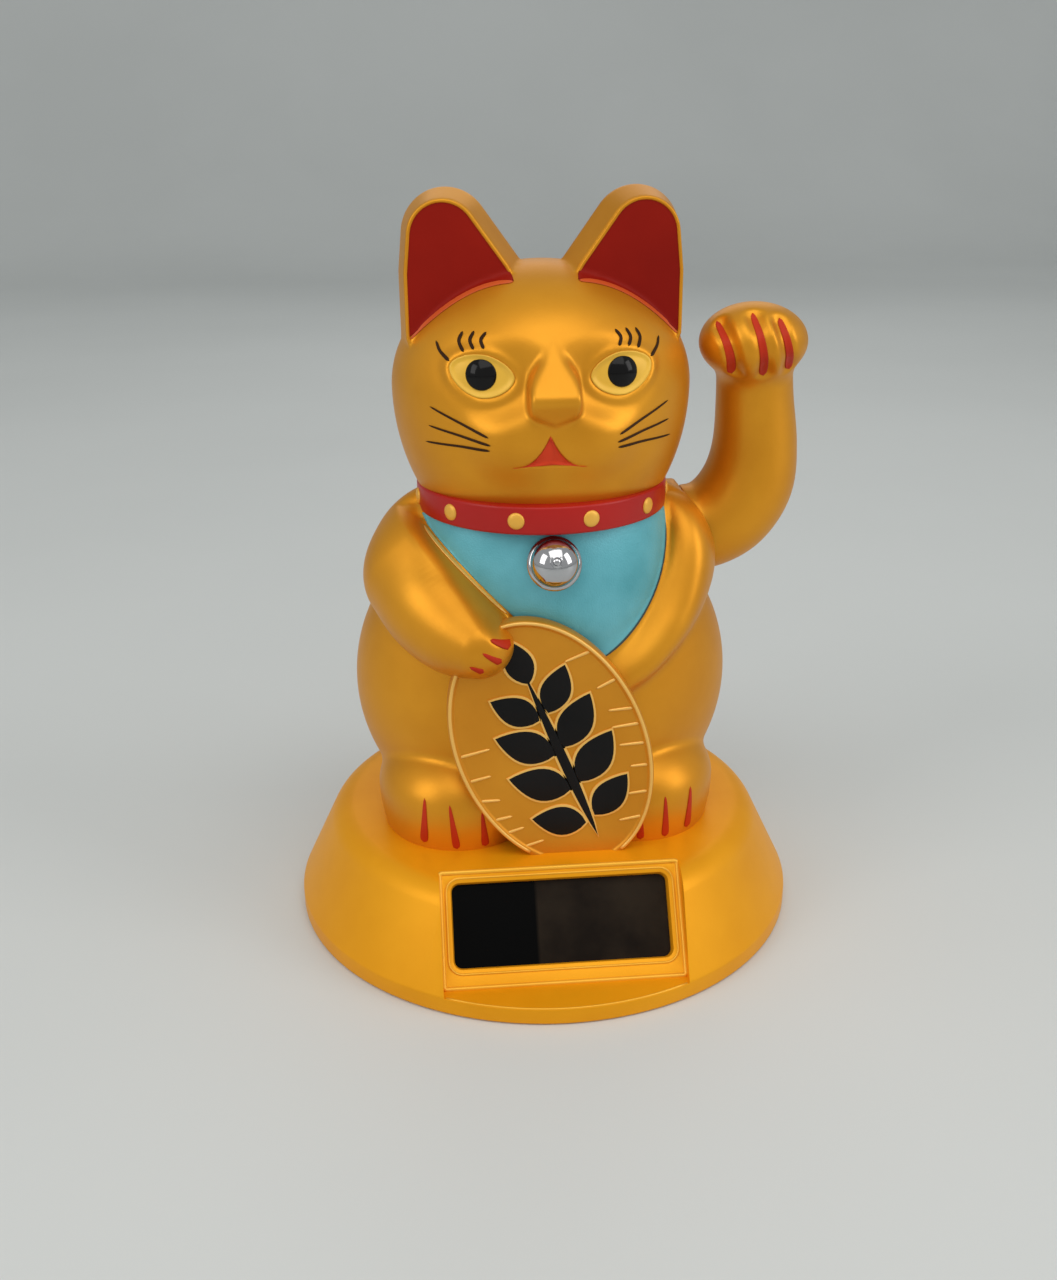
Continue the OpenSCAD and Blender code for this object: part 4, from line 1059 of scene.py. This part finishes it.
def on_cat(x, z, lift):
    return on_skin(skin_tree, x, z, lift)


def on_arm(x, z, lift):
    return on_skin(arm_tree, x, z, lift)


def reach_of(inside, middle, turn):
    """How far an outline reaches from its middle in one direction. inside(x, z) tests a point."""
    near, far = 0.0, 40.0
    for _ in range(24):
        r = (near + far) / 2
        within = inside(middle[0] + r * math.cos(turn), middle[1] + r * math.sin(turn))
        near, far = (r, far) if within else (near, r)
    return near


def patch(inside, middle, swell=0.0, side=1, around=96, rings=16):
    """A sheet over an outline on the cat, swollen towards its middle. side=-1 lays it on the other half."""
    turns = np.linspace(0, 2 * np.pi, around + 1)
    reach = [reach_of(inside, middle, turn) for turn in turns[:-1]]
    def place(u, v):
        i = round(u * around) % around
        r = v * reach[i]
        x, z = middle[0] + r * math.cos(turns[i]), middle[1] + r * math.sin(turns[i])
        return on_cat(side * x, z, STROKE_LIFT + swell * (1 - v * v))
    return thicken(mapped_grid(around, rings, place))


# %% Bib
BIB_TOP, BIB_LOW = COLLAR_LOW + 0.6, 50.0


def in_bib(x, z):
    return BIB_LOW < z < BIB_TOP and max(beyond_bib(x, z)) < -0.1


piece(patch(in_bib, (2, 66), around=160, rings=40), "bib", "figurine", TEAL)


def bib_line(along, into):
    """A point on the bib's straight edge, or a little into the bib."""
    c, s = math.cos(BIB_EDGE_TURN), math.sin(BIB_EDGE_TURN)
    return (BIB_EDGE + into) * c + along * s, (BIB_EDGE + into) * s - along * c


def bib_round(turn, into):
    return BIB_MIDDLE[0] + (BIB_R - into) * math.cos(turn), BIB_MIDDLE[1] + (BIB_R - into) * math.sin(turn)


# A pale line just outside the bib's straight edge is a painted highlight, where the raised arm's edge catches
# the light.
highlight_line = ribbon([bib_line(along, -0.35) for along in np.linspace(-65, -47.5, 12)], 0.2, 0.2, 0.05, on_cat)
piece(highlight_line, "bib_painted_highlight", "figurine", COIN_LINE)
# A dark line along the bib's round edge is a painted shadow of the low step beside the shoulder.
turns = np.radians(np.linspace(0, -60, 10))
shadow_line = ribbon([bib_round(turn, 0.1) for turn in turns], 0.14, 0.2, 0.05, on_cat)
piece(shadow_line, "bib_painted_shadow", "figurine", BIB_PAINTED_SHADOW)

# %% Eyes
PUPIL_AT, PUPIL_R, PUPIL_RISE = (10.65, 98.75), 2.3, 0.8


def in_eye(x, z):
    return eye_distance(np.array([[x, 0, z]]))[0] < 0.15


def in_pupil(x, z):
    return math.hypot(x - PUPIL_AT[0], z - PUPIL_AT[1]) < PUPIL_R


eyes, pupils = bmesh.new(), bmesh.new()
for side in (-1, 1):
    merge_into(eyes, patch(in_eye, EYE_AT, swell=0.35, side=side))
    merge_into(pupils, patch(in_pupil, PUPIL_AT, swell=PUPIL_RISE, side=side, around=48))
bmesh.ops.translate(pupils, vec=(0, -0.3, 0), verts=pupils.verts)
piece(eyes, "eyes", "figurine", EYE_YELLOW)
piece(pupils, "pupils", "figurine", PUPIL)

# %% Lashes, whiskers and mouth
LASHES = [[(13.05, 104.7), (13.7, 103.4), (13.15, 102.0)], [(11.4, 104.85), (12.1, 103.6), (11.65, 102.4)],
          [(9.65, 104.8), (10.5, 103.7), (10.15, 102.5)], [(17.05, 103.1), (16.55, 101.8), (15.25, 100.6)]]
WHISKERS = [[(18.4, 93.55), (14.1, 91.65), (9.9, 89.83)], [(18.65, 90.55), (14.05, 89.63), (9.6, 88.67)],
            [(19.2, 87.83), (14.3, 87.92), (9.7, 87.85)]]
hairs = bmesh.new()
for side in (-1, 1):
    for path in LASHES:
        merge_into(hairs, ribbon([(side * x, z) for x, z in path], 0.17, 0.29, 0.05, on_cat))
    for path in WHISKERS:
        merge_into(hairs, ribbon([(side * x, z) for x, z in path], 0.14, 0.22, 0.05, on_cat))
piece(hairs, "lashes_whiskers", "figurine", LASH)


def mouth_place(u, v):
    x = MOUTH_X + (2 * u - 1) * MOUTH_HALF
    top, low = mouth_edges(x)
    return on_cat(x, low + (top - low) * v, STROKE_LIFT)


piece(thicken(mapped_grid(48, 12, mouth_place)), "mouth", "figurine", MOUTH)

# %% Claws
FOOT_CLAWS = [[(-21.8, 28.2), (-22.2, 19.7)], [(-17.7, 27.6), (-16.7, 19)], [(-12.3, 26), (-11.8, 19)],
              [(14.6, 25), (14.8, 19)], [(18.9, 27.1), (19.2, 19)], [(23.7, 27.4), (23.4, 19.4)]]
PAW_CLAWS = [[(-10.6, 59.4), (-7.3, 57.5)], [(-11.9, 57.6), (-8.9, 55.4)], [(-13.9, 55.2), (-11.7, 54.1)]]
claws = bmesh.new()
for path in FOOT_CLAWS:
    merge_into(claws, ribbon(path, 0.2, 0.75, 0.05, on_cat))
for path in PAW_CLAWS:
    merge_into(claws, ribbon(path, 0.2, 0.62, 0.1, on_cat))
piece(claws, "claws", "figurine", CLAW)
waving_claws = bmesh.new()
for path in GROOVES:
    merge_into(waving_claws, ribbon(path, 0.5, 0.8, 0.0, on_arm))
piece(waving_claws, "waving_claws", "swing", CLAW)

# %% Inner ears
EAR_MIDDLE, EAR_RIM_R = (14.2, 112.0), 0.3
EAR_AHEAD = np.array([SEAM_Y - EAR_FACE])


def in_ear(x, z, rim):
    return ear_outline(np.array([[x, z]]), EAR_AHEAD)[0] < -rim


def ear_foot(x):
    """Height of the line along which the inner ear's paint ends on the head."""
    return 111.4 - 0.0316 * (x - 4.45) ** 2


inner_ears, ear_rims, ear_edges = bmesh.new(), bmesh.new(), bmesh.new()
turns = np.linspace(0, 2 * np.pi, 97)[:-1]
reach = [reach_of(lambda x, z: in_ear(x, z, EAR_RIM_R), EAR_MIDDLE, turn) for turn in turns]
rim = [(EAR_MIDDLE[0] + r * math.cos(a), EAR_MIDDLE[1] + r * math.sin(a)) for a, r in zip(turns, reach)]
for side in (-1, 1):
    painted = patch(lambda x, z: in_ear(x, z, EAR_RIM_R) and z > ear_foot(x), EAR_MIDDLE, side=side, rings=32)
    merge_into(inner_ears, painted)
    around = [(side * x, EAR_FACE, z) for x, z in rim]
    merge_into(ear_rims, tube(around, EAR_RIM_R, Vector((0, -1, 0)), closed=True))
    foot = [(side * x, ear_foot(x) - 0.1) for x in np.linspace(5.0, 21.0, 9)]
    merge_into(ear_edges, ribbon(foot, 0.25, 0.25, 0.03, on_cat))
piece(inner_ears, "inner_ears", "figurine", EAR_RED)
piece(ear_rims, "ear_rims", "figurine", GOLD)
piece(ear_edges, "ear_edges", "figurine", EAR_EDGE)

# %% [markdown]
# ## The works
# The solids that no piece replaces keep their shape and get a finish each: the solar cell
# behind its glass, the bottom cover with its screws and pads, and the drive inside. The
# cell is black on one part of its width and dark brown on the rest, so its colour steps at
# one place across the window.

# %% Solar cell
CELL_STEP, CELL_BLACK, CELL_BROWN = 0.39, (0.001, 0.001, 0.001), (0.024, 0.017, 0.011)
CELL_BLUR = 0.0003
CELL = finish("solar_glass", [CELL_BROWN, (0.010, 0.007, 0.005)], (0.2, 0.28), cloud=110, bump=0.0,
              specular_ior_level=0.06)
tree = CELL.node_tree
colour = tree.nodes["Principled BSDF"].inputs["Base Color"]
place = next(n for n in tree.nodes if n.type == "TEX_COORD").outputs["Object"]
across = add_node(tree, "SeparateXYZ", Vector=place).outputs["X"]
step_x = (CELL_STEP - 0.5) * WINDOW_W * MM
beyond = add_node(tree, "MapRange", Value=across, From_Min=step_x - CELL_BLUR, From_Max=step_x + CELL_BLUR)
halves = (CELL_BLACK, colour.links[0].from_socket)
feed(tree, colour, mixed(tree, beyond.outputs["Result"], halves))
print("cell darkest up to", round(step_x / MM, 1), "mm across")

# %% Finishes of the solids
STEEL = finish("plated_steel", [(0.50, 0.50, 0.52), (0.62, 0.62, 0.63)], (0.22, 0.36), metal=1.0, grain=3000)
COVER = finish("cover_yellow", [(0.70, 0.31, 0.018), (0.76, 0.36, 0.025)], (0.5, 0.62), bump=0.12)
RUBBER = finish("pad_rubber", [(0.02, 0.02, 0.02), (0.035, 0.035, 0.034)], (0.75, 0.9), bump=0.15)
WHITE = finish("white_plastic", [(0.74, 0.74, 0.71), (0.80, 0.80, 0.78)], (0.42, 0.55), bump=0.06)
BOARD = finish("board_green", [(0.02, 0.15, 0.05), (0.035, 0.20, 0.08)], (0.3, 0.42), cloud=200)
RESIN = finish("chip_resin", [(0.012, 0.012, 0.012), (0.03, 0.03, 0.03)], (0.25, 0.4), cloud=400)
SLEEVE = finish("capacitor_sleeve", [(0.02, 0.035, 0.13), (0.035, 0.055, 0.18)], (0.25, 0.38))
COPPER = finish("coil_copper", [(0.50, 0.17, 0.05), (0.60, 0.24, 0.08)], (0.25, 0.4), metal=1.0,
                grain=4000, bump=0.3)
LEAD = finish("lead_red", [(0.42, 0.02, 0.015), (0.52, 0.035, 0.02)], (0.4, 0.55))
FERRITE = finish("magnet_ferrite", [(0.09, 0.09, 0.10), (0.14, 0.14, 0.15)], (0.5, 0.65), bump=0.15)
SOLID_FINISHES = {
    CELL: ["solar_cell"],
    COVER: ["base_cover"],
    STEEL: ["cover_screws", "body_screws", "board_screws", "post_screws", "retainer_screws", "pivot_pin"],
    RUBBER: ["foot_pads"],
    WHITE: ["left_bearing_post", "right_bearing_post", "cell_retainer", "coil_bobbin",
            "pendulum_lever", "arm_hub"],
    BOARD: ["circuit_board"],
    RESIN: ["driver_chip"],
    SLEEVE: ["storage_capacitor"],
    COPPER: ["drive_coil"],
    LEAD: ["coil_leads", "solar_leads"],
    FERRITE: ["drive_magnet"],
}
for material, names in SOLID_FINISHES.items():
    for name in names:
        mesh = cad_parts[name].data
        for index in range(len(mesh.materials)):
            mesh.materials[index] = material
print("solids with a finish:", sum(len(names) for names in SOLID_FINISHES.values()))
